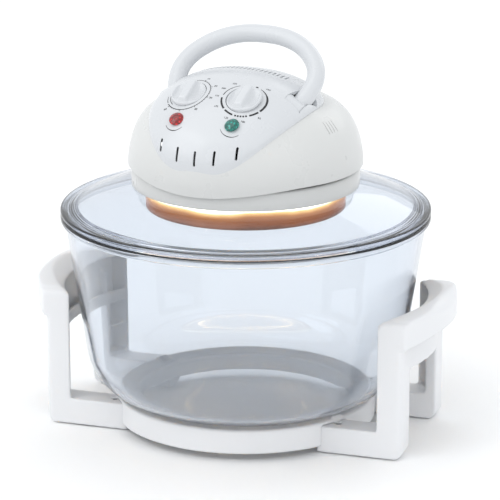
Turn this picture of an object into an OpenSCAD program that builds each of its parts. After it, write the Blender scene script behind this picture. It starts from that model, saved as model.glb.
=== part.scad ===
/* [Stand] */
// Turn of the stand about the vertical axis, against the control panel
stand_turn = 7; // [-45:1:45]
// Outer radius of the base ring
ring_r = 117; // [112:1:122]
// Height of the base ring's lower edge above the table
ring_bottom = 6.5; // [4:0.5:10]
// Radial width of the base ring
ring_w = 20; // [16:1:24]
// Wall of the base ring and of the side frames
stand_wall = 3; // [2:0.5:4]
// Half width of a side frame, over its posts
leg_span = 70; // [66:1:76]
// Depth of a post, front to back
leg_depth = 26; // [22:1:30]
// Distance of the posts' outer faces from the middle
leg_reach = 166; // [162:1:172]
// Width of a post at its end face
leg_w = 24; // [20:1:28]
// Height of the low arms that tie the posts to the ring
arm_h = 25; // [22:0.5:26]
// Height of the side handles' top above the table
bar_top = 135; // [128:1:142]
// Height of a side handle's outer wall
bar_h = 25; // [20:1:30]
// Distance of the side handles' outer faces from the middle
bar_reach = 192; // [188:0.5:200]
// Width of a side handle at its middle
bar_w = 27.5; // [25:0.5:32]
// Radius of the rubber feet
foot_r = 8; // [6:0.5:9]
// How far the rubber feet stand proud of the frames
foot_proud = 1; // [0.5:0.25:2]

/* [Bowl] */
// Outer radius of the bowl's rim
bowl_rim_r = 165; // [163:0.5:168]
// Height of the bowl's base above the table
bowl_base = 27.5; // [26.5:0.5:29]
// Height of the bowl's rim above the table
bowl_top = 195.3; // [185:0.1:200]
// How far the rim's bead stands out from the wall
rim_proud = 2.9; // [2.5:0.1:4]
// Outward slope of the bowl's wall, per unit of height
bowl_flare = 0.1525; // [0.13:0.0025:0.17]
// Outer radius of the bowl's bottom corner
bowl_corner = 48; // [40:1:55]
// Thickness of the bowl's glass
bowl_wall = 4; // [3:0.5:5]
// Height of the bowl's rim bead
rim_h = 6; // [5:0.5:8]

/* [Glass lid] */
// Thickness of the lid's glass
lid_glass = 4; // [3:0.5:5]
// Thickness of the lid's flat flange
flange_t = 5; // [4:0.5:6]
// Width of the lid's flat flange
flange_w = 8; // [7:0.5:10]
// Radius of the dome's sphere
dome_r = 370; // [350:5:400]
// Radius of the hole that the heater passes through
lid_hole_r = 91; // [90:0.5:92]
// Running gap between the lid and the bowl
lid_gap = 0.3; // [0.2:0.05:0.5]

/* [Heater] */
// Outer radius of the steel band under the glass
band_r = 88.6; // [86:0.1:89]
// Height of the steel band's lower edge above the table
band_bottom = 200; // [199:0.5:203]
// Thickness of the steel sheet
sheet_t = 0.8; // [0.6:0.1:1.2]
// Radius of the halogen tube's ring
tube_ring_r = 64; // [60:1:68]
// Outer radius of the halogen tube
tube_r = 5; // [4:0.5:6]
// Height of the halogen tube above the table
tube_z = 210.5; // [210:0.25:212]
// Outer radius of the hot-air fan
fan_r = 50; // [44:1:54]
// Blades of the hot-air fan
fan_blades = 6; // [4:1:8]
// Outer radius of the motor's cooling fan
cool_fan_r = 25; // [20:1:26]
// Rings of wire in the guard
guard_rings = 6; // [4:1:8]
// Spokes of wire in the guard
guard_spokes = 6; // [4:1:8]
// Radius of the guard's wire
wire_r = 1.1; // [0.9:0.1:1.4]

/* [Head] */
// Outer radius of the white collar on the glass
collar_r = 101.4; // [100:0.2:103]
// Height of the collar's top above the table
collar_top = 235; // [233:0.5:237]
// Outer radius of the housing's lower edge
house_r = 104.3; // [103.5:0.1:107]
// Height of the housing's lower edge at its sides and back
house_edge = 240.7; // [239:0.1:243]
// How far the housing's chin dips in front
chin_drop = 8.2; // [5:0.1:9]
// Height of the housing's shoulders above the table
shoulder_top = 300; // [292:1:306]
// Wall of the housing and of the control cover
shell_t = 2.6; // [2:0.2:3.2]
// Half width of the control cover
cover_w = 72; // [70:0.5:74]
// Reach of the control cover in front of its widest line
cover_front = 93; // [90:0.5:94]
// Reach of the control cover behind its widest line
cover_back = 62; // [56:1:64]
// Height of the control cover's crown above the table
crown_top = 325; // [318:1:332]
// How far the control cover's edge stands proud of the shoulder
cover_proud = 1.5; // [1.2:0.1:2.5]
// Width of a cooling slot in the control cover
slot_w = 2.2; // [1.6:0.2:3]
// Radius of the motor shaft
shaft_r = 3; // [2.5:0.25:4]
// Running clearance of a shaft in its bearing
run_gap = 0.05; // [0.02:0.01:0.08]

/* [Controls] */
// Distance of each knob from the middle
dial_x = 26.5; // [24:0.5:28]
// Distance of the knobs in front of the middle
dial_y = 59; // [56:0.5:62]
// Tilt of the knobs' shafts towards the front
dial_tilt = 28; // [24:1:32]
// Radius of a knob
knob_r = 15.5; // [13:0.5:17]
// Height of a knob's grip above its disc
grip_h = 7; // [5:0.5:10]
// Distance of the lamp lenses in front of the middle
lens_y = 82.7; // [80:0.5:84]
// Tilt of the lamp lenses towards the front
lens_tilt = 41; // [36:1:46]
// Radius of a lamp lens
lens_r = 6.5; // [5:0.5:7.5]

/* [Carry handle] */
// Lean of the handle from upright, as it stands
handle_lean = 50; // [30:1:60]
// Length of the handle from its pivots to its crown
handle_len = 87; // [80:1:92]
// Half width of the handle at its widest
handle_w = 74; // [70:1:76]
// Half width of the handle at its pivots
handle_foot_w = 60; // [58:1:61]
// Radius of the handle's grip
grip_r = 8; // [7:0.25:8.5]
// Distance of the handle's pivots in front of the middle
pivot_y = 28; // [26:0.5:30]
// Height of the handle's pivots above the table
pivot_z = 292; // [288:0.5:294]
// Radius of the handle's pivot pins
pin_r = 4; // [3:0.25:4.5]
// Travel of the switch plunger, per radian of the handle
cam_rise = 2.4; // [1.8:0.1:2.6]

/* [Hidden] */
$fn = 96;

white = [0.87, 0.87, 0.855];
panel_white = [0.91, 0.92, 0.935];
steel = [0.72, 0.72, 0.74];
glass = [0.80, 0.86, 0.90, 0.35];
dark = [0.18, 0.18, 0.19];
fit = 0.3;              // gap between neighbours that do not touch
seat = 0.1;             // gap between seated faces
eps = 0.01;

// Stand: heights and the plan of a side frame
ring_top = bowl_base + 1;
deck_dish = 3;          // how far the ring's deck falls inwards
frame_bottom = foot_proud;
leg_inner = leg_reach - leg_w;
bar_fall = 9;           // how far the handle falls towards its ends
tie_h = 12;
tie_low = bar_top - 57;
lug_angle = 27;
lug_r = 108.5;
screw_r = 2;

function arc_r(half, rise) = (half * half + rise * rise) / (2 * rise);
frame_inner = bar_reach - bar_w;
bar_outer_r = arc_r(leg_span, bar_reach - leg_reach - 2);
frame_inner_r = arc_r(leg_span, frame_inner - leg_inner);

// Bowl: the wall's cone, its line and the corner's centre
bowl_cone_r = bowl_rim_r - rim_proud - bowl_flare * bowl_top;
function wall_r(z, inset = 0) = bowl_cone_r + bowl_flare * z - inset * sqrt(1 + bowl_flare * bowl_flare);
corner_z = bowl_base + bowl_corner;
corner_r = wall_r(corner_z) - bowl_corner * sqrt(1 + bowl_flare * bowl_flare);
corner_a = atan(bowl_flare);

// Glass lid: the dome's centre and its heights by radius
lid_bottom = bowl_top + lid_gap;
flange_top = lid_bottom + flange_t;
flange_inner_r = bowl_rim_r - flange_w;
dome_z = flange_top - sqrt(dome_r * dome_r - flange_inner_r * flange_inner_r);
function glass_top(r) = dome_z + sqrt(dome_r * dome_r - r * r);
function glass_under(r) = dome_z + sqrt(pow(dome_r - lid_glass, 2) - r * r);

// Head: the housing's shoulder by radius, and the control cover over its plan
shoulder_h = shoulder_top - house_edge;
function shoulder_z(r, inset = 0) =
    house_edge + (shoulder_h - inset) * pow(max(0, 1 - pow(min(1, r / (house_r - inset)), 6)), 0.54);
cover_y = -10;          // the cover's widest line
cover_power = 2.4;
function cover_reach(y) = y < cover_y ? cover_front : cover_back;
function cover_k(x, y, inset = 0) =
    pow(pow(abs(x) / (cover_w - inset), cover_power)
        + pow(abs(y - cover_y) / (cover_reach(y) - inset), cover_power), 1 / cover_power);
function cover_edge_z(x, y) = shoulder_z(norm([x, y]) - cover_proud) + cover_proud * 0.6;
function cover_z(x, y, inset = 0) =
    let (k = max(0.001, cover_k(x, y, inset)),
         ex = x / k, ey = cover_y + (y - cover_y) / k,
         low = cover_edge_z(ex, ey))
    low + (crown_top - inset - low) * pow(max(0, 1 - pow(min(1, k), 2.2)), 0.67);
dial_z = cover_z(dial_x, -dial_y);
lens_z = cover_z(dial_x, -lens_y);
knob_gap = 1.8;
deck_z = collar_top - 1;
deck_t = 1.2;
deck_top = deck_z + deck_t;
neck_r = lid_hole_r - 1.5;
motor_z = deck_top + 22;
motor_h = 18;
shaft_top = motor_z + motor_h + 12;
shaft_bottom = tube_z - 5;
boss_r = 4;
boss_ring = 87;
bracket_x = 46;
bracket_t = 5;
cam_x = bracket_x - 1 - 6;
cam_rest_r = 8;
handle_back = 0;        // limits of the handle's turn, in degrees, as the joint has them
handle_up = handle_lean;

// ---- stand ----

module on_stand() { rotate([0, 0, stand_turn]) children(); }

module four_ways() {
    for (sx = [-1, 1])
        for (sy = [-1, 1])
            scale_sign(sx, sy) children();
}

module scale_sign(sx, sy) {
    mirror([sx < 0 ? 1 : 0, 0, 0])
        mirror([0, sy < 0 ? 1 : 0, 0])
            children();
}

module arm_block(gap = 0) {
    reach = leg_reach - 10 - ring_r + ring_w + 8;
    translate([ring_r - ring_w - 8, leg_span - leg_depth - gap, frame_bottom - gap])
        cube([reach, leg_depth + 2 * gap, arm_h - frame_bottom + 2 * gap]);
}

module ring_section() {
    inner = ring_r - ring_w;
    low_deck = ring_top - deck_dish;
    round_r = 2;
    difference() {
        union() {
            polygon([[ring_r, ring_bottom], [ring_r, ring_top - round_r], [ring_r - round_r, ring_top],
                [inner + 1, low_deck], [inner, low_deck - 1], [inner, ring_bottom + 4],
                [inner + stand_wall, ring_bottom + 4], [inner + stand_wall, low_deck - stand_wall],
                [ring_r - stand_wall, ring_top - stand_wall - 1], [ring_r - stand_wall, ring_bottom]]);
            translate([ring_r - round_r, ring_top - round_r])
                circle(r = round_r, $fn = 32);
        }
    }
}

module lug() {
    rotate([0, 0, lug_angle])
        translate([lug_r - 6, -6, ring_top - deck_dish - 1])
            cube([12, 12, 9]);
}

module screw_spot() {
    translate([ring_r - 12, leg_span - leg_depth / 2, 0]) children();
}

module stand_ring() {
    color(white) on_stand() {
        difference() {
            union() {
                rotate_extrude($fn = 160) ring_section();
                four_ways() intersection() {
                    lug();
                    cylinder(r = ring_r - 1, h = bar_top);
                }
                four_ways() screw_spot()
                    translate([0, 0, arm_h + seat]) cylinder(r = 4, h = ring_top - arm_h - 2, $fn = 48);
            }
            bowl_solid(-fit, bowl_top);
            four_ways() translate([0, 0, -eps]) arm_block(fit);
            four_ways() screw_spot() cylinder(r = screw_r + 0.05, h = ring_top - 2, $fn = 48);
        }
    }
}

// Plan between the frame's inner arc and the handle's outer arc
module bar_plan() {
    intersection() {
        difference() {
            translate([bar_reach - bar_outer_r, 0]) circle(r = bar_outer_r, $fn = 160);
            translate([frame_inner - frame_inner_r, 0]) circle(r = frame_inner_r, $fn = 160);
        }
        translate([leg_inner - 8, -leg_span - 2]) square([bar_reach, 2 * leg_span + 4]);
    }
}

// Handle's top by radius about the inner arc's centre: it climbs outwards and rolls over at its rim
module bar_roof(drop = 0) {
    r0 = frame_inner_r;
    r1 = r0 + bar_reach - frame_inner;
    edge = drop > 0 ? -20 : 0;
    z = bar_top - drop;
    translate([frame_inner - frame_inner_r, 0, 0])
        rotate_extrude($fn = 160)
            polygon([[0, -1], [r1 + 5, -1], [r1 + 5, z - 12], [r1 - 0.5, z - 7.5], [r1 - 3, z - 3.5], [r1 - 6, z - 1.2],
                [r1 - 9.5, z], [r1 - 13, z - 0.6], [r0 + 3.5 + edge / 2, z - 8.5 + edge * 0.3],
                [r0 + 1 + edge, z - 10.5 + edge * 0.3], [r0 - 0.5 + edge, z - 13 + edge * 0.3], [0, z - 13 + edge * 0.3]]);
}

// Side view under the handle's top: bowed along its length, with rounded ends
module bowed_view(top, fall, span, round_r) {
    bow_r = arc_r(leg_span, fall);
    intersection() {
        translate([0, top - bow_r]) circle(r = bow_r, $fn = 720);
        union() {
            translate([-span, -1]) square([2 * span, top - fall - round_r + 1]);
            translate([-span + round_r, -1]) square([2 * (span - round_r), top + 5]);
            for (s = [-1, 1])
                translate([s * (span - round_r), top - fall - round_r]) circle(r = round_r, $fn = 48);
        }
    }
}

module along_x(len) { rotate([90, 0, 90]) linear_extrude(len) children(); }

module bar_body(inset) {
    intersection() {
        bar_roof(inset);
        along_x(bar_reach + 20) bowed_view(bar_top - inset, bar_fall, leg_span - inset, 7 - inset);
    }
}

// Upright shell of the handle: a roof, an outer wall and two end walls, open below and inwards
module bar_shell() {
    difference() {
        intersection() {
            linear_extrude(bar_top + 5) bar_plan();
            bar_body(0);
        }
        intersection() {
            translate([bar_reach - bar_outer_r, 0, -2])
                cylinder(r = bar_outer_r - stand_wall, h = bar_top, $fn = 160);
            bar_body(stand_wall);
        }
        translate([leg_inner - 30, 0, 0]) along_x(bar_reach)
            bowed_view(bar_top - bar_h, bar_fall, leg_span + 5, 1);
    }
}

module post_block(low, high, inset = 0) {
    corner = 5 - inset;
    y0 = leg_span - leg_depth;
    difference() {
        translate([0, 0, low]) linear_extrude(high - low) {
            translate([leg_inner - 5, y0]) square([leg_reach - leg_inner + 5, leg_depth - corner]);
            translate([leg_inner - 5, y0]) square([leg_reach - leg_inner + 5 - corner, leg_depth]);
            translate([leg_reach - corner, leg_span - corner]) circle(r = corner, $fn = 48);
        }
        translate([frame_inner - frame_inner_r, 0, low - 1])
            cylinder(r = frame_inner_r, h = high - low + 2, $fn = 160);
    }
}

// Curved tie between the posts, under the handle's open side
module tie_band() {
    translate([0, 0, tie_low]) linear_extrude(tie_h) intersection() {
        difference() {
            translate([frame_inner - frame_inner_r, 0]) circle(r = frame_inner_r + stand_wall, $fn = 160);
            translate([frame_inner - frame_inner_r, 0]) circle(r = frame_inner_r, $fn = 160);
        }
        translate([leg_inner - 5, -leg_span + 1]) square([60, 2 * leg_span - 2]);
    }
}

module side_frame() {
    pocket_low = arm_h + stand_wall;
    post_high = bar_top - bar_h + 1.5;
    pocket_h = post_high - pocket_low;
    toe_r = 8;
    bar_shell();
    tie_band();
    for (s = [0, 1]) mirror([0, s, 0]) difference() {
        union() {
            post_block(frame_bottom, post_high);
            difference() {
                arm_block();
                translate([0, 0, -1]) cylinder(r = ring_r - ring_w + stand_wall + fit, h = bar_top, $fn = 160);
            }
        }
        // hollow of the post, open towards the bowl, with two ribs left standing
        difference() {
            translate([leg_inner - 10, leg_span - leg_depth + stand_wall, pocket_low])
                cube([leg_reach - leg_inner - stand_wall + 10, leg_depth - 2 * stand_wall, pocket_h + 1]);
            for (i = [1, 2])
                translate([leg_inner + 6, leg_span - leg_depth, pocket_low + i * pocket_h / 3 - 1])
                    cube([leg_w, leg_depth, 2]);
        }
        // hollow of the arm, open below
        translate([ring_r + 6, leg_span - leg_depth + stand_wall, -1])
            cube([leg_inner - ring_r - 8, leg_depth - 2 * stand_wall, arm_h - stand_wall + 1]);
        screw_spot() translate([0, 0, -1]) cylinder(r = screw_r + 0.2, h = arm_h + 2, $fn = 48);
        screw_spot() translate([0, 0, -1]) cylinder(r = 4.2, h = 9, $fn = 48);
        foot_spot() cylinder(r = foot_r, h = frame_bottom + 2, $fn = 64);
        // rounded outer toe
        translate([leg_reach - toe_r, 0, frame_bottom + toe_r]) rotate([-90, 0, 0]) difference() {
            translate([0, 0, -1]) cube([toe_r + 1, toe_r + 1, leg_span + 2]);
            translate([0, 0, -2]) cylinder(r = toe_r, h = leg_span + 4, $fn = 64);
        }
    }
}

module foot_spot() {
    translate([leg_reach - foot_r - 6, leg_span - leg_depth / 2, 0]) children();
}

module right_side_frame() { color(white) on_stand() side_frame(); }

module left_side_frame() { color(white) on_stand() mirror([1, 0, 0]) side_frame(); }

module frame_screws() {
    color(steel) on_stand() four_ways() screw_spot() {
        translate([0, 0, 5]) cylinder(r = screw_r, h = ring_top - 8, $fn = 32);
        translate([0, 0, 5]) difference() {
            cylinder(r = 3.8, h = 3, $fn = 32);
            translate([0, 0, -1]) cylinder(r = 1.6, h = 2.4, $fn = 6);
        }
    }
}

module rubber_feet() {
    color(dark) on_stand() four_ways() foot_spot()
        cylinder(r = foot_r - seat, h = frame_bottom + 2 - seat, $fn = 48);
}

// ---- bowl and glass lid ----

// Solid of revolution inside the bowl's outer face, drawn in by inset
module bowl_solid(inset, top) {
    rotate_extrude($fn = 180) bowl_half(inset, top);
}

module bowl_half(inset, top) {
    r = bowl_corner - inset;
    tangent = [corner_r + r * cos(corner_a), corner_z - r * sin(corner_a)];
    translate([0, bowl_base + inset]) square([corner_r, corner_z - bowl_base - inset]);
    intersection() {
        translate([corner_r, corner_z]) circle(r = r, $fn = 120);
        translate([corner_r - eps, bowl_base - 10]) square([bowl_corner + 20, bowl_corner + 10]);
    }
    polygon([[0, corner_z - eps], [corner_r, corner_z - eps], tangent, [wall_r(top, inset), top], [0, top]]);
}

module glass_bowl() {
    bead_low = bowl_top - rim_h;
    bead_round = 2;
    color(glass) rotate_extrude($fn = 180) difference() {
        union() {
            bowl_half(0, bead_low + 2);
            translate([0, bead_low]) square([bowl_rim_r - bead_round, rim_h]);
            translate([0, bead_low + bead_round]) square([bowl_rim_r, rim_h - 2 * bead_round]);
            for (z = [bead_low + bead_round, bowl_top - bead_round])
                translate([bowl_rim_r - bead_round, z]) circle(r = bead_round, $fn = 32);
        }
        bowl_half(bowl_wall, bowl_top + 1);
        translate([-1, bowl_base - 20]) square([1, bowl_top]);
    }
}

module glass_lid() {
    round_r = 2;
    skirt_r = wall_r(lid_bottom, bowl_wall) - 2.2;
    color(glass) rotate_extrude($fn = 180) difference() {
        union() {
            // dome
            intersection() {
                difference() {
                    translate([0, dome_z]) circle(r = dome_r, $fn = 720);
                    translate([0, dome_z]) circle(r = dome_r - lid_glass, $fn = 720);
                }
                translate([lid_hole_r, lid_bottom]) square([flange_inner_r - lid_hole_r + 0.5, 60]);
            }
            // flange that lies on the bowl's rim
            translate([flange_inner_r - 8, lid_bottom]) square([bowl_rim_r - flange_inner_r + 8 - round_r, flange_t]);
            translate([flange_inner_r, lid_bottom + round_r])
                square([bowl_rim_r - flange_inner_r, flange_t - 2 * round_r]);
            for (z = [lid_bottom + round_r, flange_top - round_r])
                translate([bowl_rim_r - round_r, z]) circle(r = round_r, $fn = 32);
            // locating skirt inside the bowl's mouth
            translate([skirt_r - 4, lid_bottom - 5]) square([4, 5 + 2]);
        }
        translate([0, 0]) square([lid_hole_r, 400]);
    }
}

// ---- heater, hung under the glass ----

module lid_collar() {
    low = glass_top(collar_r) + seat;
    neck_low = glass_under(band_r) + 2 * seat;
    steps = 6;
    under = [for (i = [0 : steps]) let (r = neck_r + 1.2 + i * (collar_r - neck_r - 1.2) / steps)
        [r, glass_top(r) + seat]];
    color(white) difference() {
        rotate_extrude($fn = 180)
            polygon(concat(under, [[collar_r, collar_top - 2.5], [collar_r - 2, collar_top],
                [collar_r - 5, collar_top], [collar_r - 5, deck_z], [neck_r - 7, deck_z],
                [neck_r - 7, deck_z - 3], [neck_r - 3, deck_z - 5], [neck_r - 3, neck_low],
                [neck_r, neck_low], [neck_r, glass_top(neck_r) - 0.5]]));
        ring_of(4, boss_ring, 45) translate([0, 0, low]) cylinder(r = 3.5, h = 30, $fn = 32);
    }
}

module ring_of(count, r, start = 0) {
    for (i = [0 : count - 1])
        rotate([0, 0, start + i * 360 / count])
            translate([r, 0, 0])
                children();
}

// Steel band: a rolled lower lip, a straight wall and a flange that clamps the glass from below
module heater_shroud() {
    top = glass_under(band_r) - 0.5;
    flange_r = lid_hole_r + 5;
    flange_low = glass_under(flange_r) - 0.5;
    lip = 3;
    color(steel) difference() {
        rotate_extrude($fn = 180) {
            polygon([[band_r - sheet_t, band_bottom], [band_r, band_bottom], [band_r, top - 1.4],
                [flange_r, flange_low - sheet_t], [flange_r, flange_low], [band_r - 1.5, top + 0.4],
                [band_r - 8, top + 0.4], [band_r - 8, top + 0.4 - sheet_t], [band_r - sheet_t, top + 0.4 - sheet_t]]);
            translate([band_r - lip, band_bottom]) square([lip, sheet_t]);
        }
        ring_of(6, band_r - 4, 30) cylinder(r = 1.6, h = 400, $fn = 32);
    }
}

// Dished steel disc behind the lamp
module reflector() {
    rim = band_r - sheet_t - 0.4;
    dish = 2.5;
    top = glass_under(band_r) - 0.5 + 0.4 - sheet_t - seat;
    color(steel) difference() {
        rotate_extrude($fn = 180)
            polygon([[shaft_r + 3, top - dish - sheet_t], [52, top - dish - sheet_t], [58, top - sheet_t],
                [rim, top - sheet_t], [rim, top], [58 - 0.4, top], [52 - 0.4, top - dish], [shaft_r + 3, top - dish]]);
        ring_of(6, band_r - 4, 30) cylinder(r = 1.6, h = 400, $fn = 32);
        ring_of(2, tube_ring_r, 0) cylinder(r = 4.4, h = 400, $fn = 32);
        ring_of(12, 34, 15) cylinder(r = 3, h = 400, $fn = 32);
    }
}

module insulation_board() {
    low = glass_under(band_r) + seat;
    color([0.85, 0.80, 0.70]) difference() {
        translate([0, 0, low]) cylinder(r = neck_r - 3 - fit, h = 5, $fn = 120);
        cylinder(r = shaft_r + 2, h = 400, $fn = 48);
        ring_of(2, tube_ring_r, 0) cylinder(r = 4.4, h = 400, $fn = 32);
    }
}

module wire_ring(r, z) {
    translate([0, 0, z]) rotate_extrude($fn = 120) translate([r, 0]) circle(r = wire_r, $fn = 16);
}

// Guard: rings of wire on radial spokes, whose bent ends hook on the band's lip
module wire_guard() {
    inner = 12;
    outer = band_r - 6;
    z = band_bottom + sheet_t + wire_r + seat;
    color(steel) {
        for (i = [0 : guard_rings - 1])
            wire_ring(inner + i * (outer - inner) / (guard_rings - 1), z);
        for (i = [0 : guard_spokes - 1])
            rotate([0, 0, i * 360 / guard_spokes])
                translate([inner - 2, 0, z + 1.6 * wire_r])
                    rotate([0, 90, 0])
                        cylinder(r = wire_r, h = band_r - 1.4 - inner + 2, $fn = 16);
    }
}

module guard_screws() {
    top = glass_under(band_r) + 4;
    head_z = glass_under(band_r) - 3.4;
    color(steel) ring_of(6, band_r - 4, 30) {
        translate([0, 0, head_z]) cylinder(r = 1.5, h = 3.4, $fn = 32);
        translate([0, 0, head_z - 1.6]) cylinder(r = 3, h = 1.9, $fn = 32);
    }
}

// Ring-shaped lamp with two turned-up ends
module halogen_tube() {
    gap_a = 12;
    color([0.95, 0.93, 0.85]) for (s = [0, 180])
        rotate([0, 0, s]) {
            translate([0, 0, tube_z]) rotate([0, 0, gap_a / 2]) rotate_extrude(angle = 180 - gap_a, $fn = 96)
                translate([tube_ring_r, 0]) circle(r = tube_r, $fn = 32);
        }
}

module tube_holders() {
    color([0.93, 0.91, 0.86]) ring_of(2, tube_ring_r, 0) difference() {
        union() {
            translate([-8, -7, tube_z - 3]) cube([16, 14, 7.4]);
            translate([0, 0, tube_z]) cylinder(r = 4, h = glass_under(band_r) + 8 - tube_z, $fn = 32);
        }
        translate([-tube_ring_r, 0, tube_z]) rotate_extrude($fn = 96)
            translate([tube_ring_r, 0]) circle(r = tube_r + seat, $fn = 32);
    }
}

module blade(r0, r1, w, t, pitch) {
    rotate([pitch, 0, 0])
        linear_extrude(t, center = true)
            polygon([[r0, -w * 0.22], [r1 - 4, -w / 2], [r1, -w / 2 + 4], [r1, w / 2 - 4], [r1 - 4, w / 2],
                [r0, w * 0.22]]);
}

module convection_fan() {
    z = tube_z - 0.9;
    color(steel) difference() {
        union() {
            translate([0, 0, z - 3.5]) cylinder(r = 6.5, h = 7, $fn = 48);
            translate([0, 0, z - 0.6]) cylinder(r = 15, h = 1.2, $fn = 64);
            for (i = [0 : fan_blades - 1])
                rotate([0, 0, i * 360 / fan_blades])
                    translate([0, 0, z])
                        blade(10, fan_r, 21, 1, 18);
        }
        translate([0, 0, z - 10]) cylinder(r = shaft_r + 0.02, h = 20, $fn = 48);
    }
}

module cooling_fan() {
    z = deck_top + 4;
    vanes = 10;
    color([0.85, 0.85, 0.86]) difference() {
        union() {
            translate([0, 0, z]) cylinder(r = cool_fan_r, h = 1.6, $fn = 96);
            translate([0, 0, z]) cylinder(r = 7, h = 8, $fn = 48);
            for (i = [0 : vanes - 1])
                rotate([0, 0, i * 360 / vanes])
                    translate([11, -0.8, z])
                        cube([cool_fan_r - 12, 1.6, 10]);
        }
        translate([0, 0, z - 10]) cylinder(r = shaft_r + 0.02, h = 40, $fn = 48);
    }
}

module motor_shaft() {
    color(steel) {
        translate([0, 0, shaft_bottom]) cylinder(r = shaft_r, h = shaft_top - shaft_bottom, $fn = 48);
        translate([0, 0, motor_z + 1]) cylinder(r = 11.5, h = motor_h - 2, $fn = 64);
    }
}

module motor_core() {
    color([0.45, 0.46, 0.48]) translate([0, 0, motor_z]) difference() {
        translate([-26, -20, 0]) cube([52, 52, motor_h]);
        translate([0, 0, -1]) cylinder(r = 12, h = motor_h + 2, $fn = 64);
        translate([-14, 14.5, -1]) cube([28, 9, motor_h + 2]);
    }
}

module motor_coil() {
    color([0.72, 0.42, 0.2]) translate([0, 0, motor_z]) difference() {
        translate([-13.5, 15, -6]) cube([27, 22, motor_h + 12]);
        translate([-14, 23.3, -fit]) cube([28, 8.9, motor_h + 2 * fit]);
    }
}

// Two bearing straps over and under the core, on four pillars
module motor_bracket() {
    strap = 1.6;
    bush = 5.5;
    post_x = 30;
    post_y = 8;
    color(steel) difference() {
        union() {
            for (z = [motor_z - 6 - strap, motor_z + motor_h + 6]) {
                translate([-post_x - 4, -6, z]) cube([2 * post_x + 8, 12, strap]);
                translate([0, 0, z - 2]) cylinder(r = bush, h = strap + 4, $fn = 48);
                for (s = [-1, 1]) translate([s * post_x - 4, -post_y - 4, z]) cube([8, 2 * post_y + 8, strap]);
            }
            for (sx = [-1, 1])
                for (sy = [-1, 1])
                    translate([sx * post_x, sy * post_y, deck_top])
                        cylinder(r = 3, h = motor_z + motor_h + 6 - deck_top + strap, $fn = 32);
        }
        cylinder(r = shaft_r + run_gap, h = 400, $fn = 64);
    }
}

module deck_plate() {
    color(steel) difference() {
        translate([0, 0, deck_z]) cylinder(r = collar_r - 5 - fit, h = deck_t, $fn = 120);
        cylinder(r = 18, h = 400, $fn = 64);
        ring_of(4, boss_ring, 45) cylinder(r = 2.2, h = 400, $fn = 32);
        ring_of(18, 70) cylinder(r = 3.5, h = 400, $fn = 32);
    }
}

// ---- head ----

// Half section of the housing's outer face, drawn in by inset
module housing_half(inset) {
    r0 = house_r - inset;
    steps = 22;
    low = house_edge - chin_drop - (inset > 0 ? 5 : 0);
    curve = [for (i = [0 : steps]) let (t = 90 * i / steps, r = r0 * pow(cos(t), 0.36))
        [r, shoulder_z(r, inset)]];
    polygon(concat([[0, low], [r0, low]], curve, [[0, shoulder_top - inset]]));
}

// Outline of the control cover in plan, drawn in by inset
function cover_point(a, inset = 0) =
    let (c = cos(a), s = sin(a))
    [(cover_w - inset) * sign(c) * pow(abs(c), 2 / cover_power),
     cover_y + ((s < 0 ? cover_front : cover_back) - inset) * sign(s) * pow(abs(s), 2 / cover_power)];

module cover_plan(inset, n = 48) {
    polygon([for (i = [0 : n - 1]) cover_point(i * 360 / n, inset)]);
}

// Side view of the housing's lower edge: level at the sides and back, with a chin in front
module edge_view() {
    steps = 10;
    chin = [for (i = [0 : steps]) let (a = 60 * i / steps)
        [-house_r * cos(a) - (i == 0 ? 3 : 0), house_edge - chin_drop * (1 + cos(3 * a)) / 2]];
    polygon(concat([[house_r + 5, house_edge - 30], [house_r + 5, house_edge], [0, house_edge]],
        [for (i = [0 : steps]) chin[steps - i]], [[-house_r - 3, house_edge - 30]]));
}

// Slots that the handle's legs stand and swing in
module leg_slots() {
    for (s = [-1, 1]) scale_sign(s, 1)
        translate([handle_foot_w - grip_r - 1, -pivot_y - grip_r - 1, pivot_z - 4])
            cube([grip_r * 2 + 14, 46, 60]);
}

module head_housing() {
    color(white) difference() {
        union() {
            difference() {
                rotate_extrude($fn = 180) housing_half(0);
                rotate_extrude($fn = 180) housing_half(shell_t);
            }
            ring_of(4, boss_ring, 45) intersection() {
                translate([0, 0, deck_top + seat]) cylinder(r = boss_r, h = 60, $fn = 32);
                rotate([0, 0, 0]) translate([-boss_ring, 0, 0]) rotate_extrude($fn = 180) housing_half(1);
            }
        }
        translate([0, 0, shoulder_top - 60]) linear_extrude(80) cover_plan(3.5);
        rotate([90, 0, 90]) linear_extrude(3 * house_r, center = true) edge_view();
        leg_slots();
        ring_of(4, boss_ring, 45) cylinder(r = 1.5, h = deck_top + 20, $fn = 32);
        gland_place() cylinder(r = 6.2, h = 40, center = true, $fn = 48);
    }
}

module housing_screws() {
    color(steel) ring_of(4, boss_ring, 45) {
        translate([0, 0, deck_z - 4]) cylinder(r = 1.45, h = 18, $fn = 32);
        translate([0, 0, deck_z - 2]) cylinder(r = 3.2, h = 1.9, $fn = 32);
    }
}

// Points of the cover's outer and inner skins, by direction and share of the way to the edge
function skin_out(a, k) =
    let (p = cover_point(a), q = [p[0] * k, cover_y + (p[1] - cover_y) * k])
    [q[0], q[1], cover_z(q[0], q[1])];
function skin_in(a, k) =
    let (p = cover_point(a, shell_t))
    [p[0] * k, cover_y + (p[1] - cover_y) * k, skin_out(a, k)[2] - shell_t];

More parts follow.
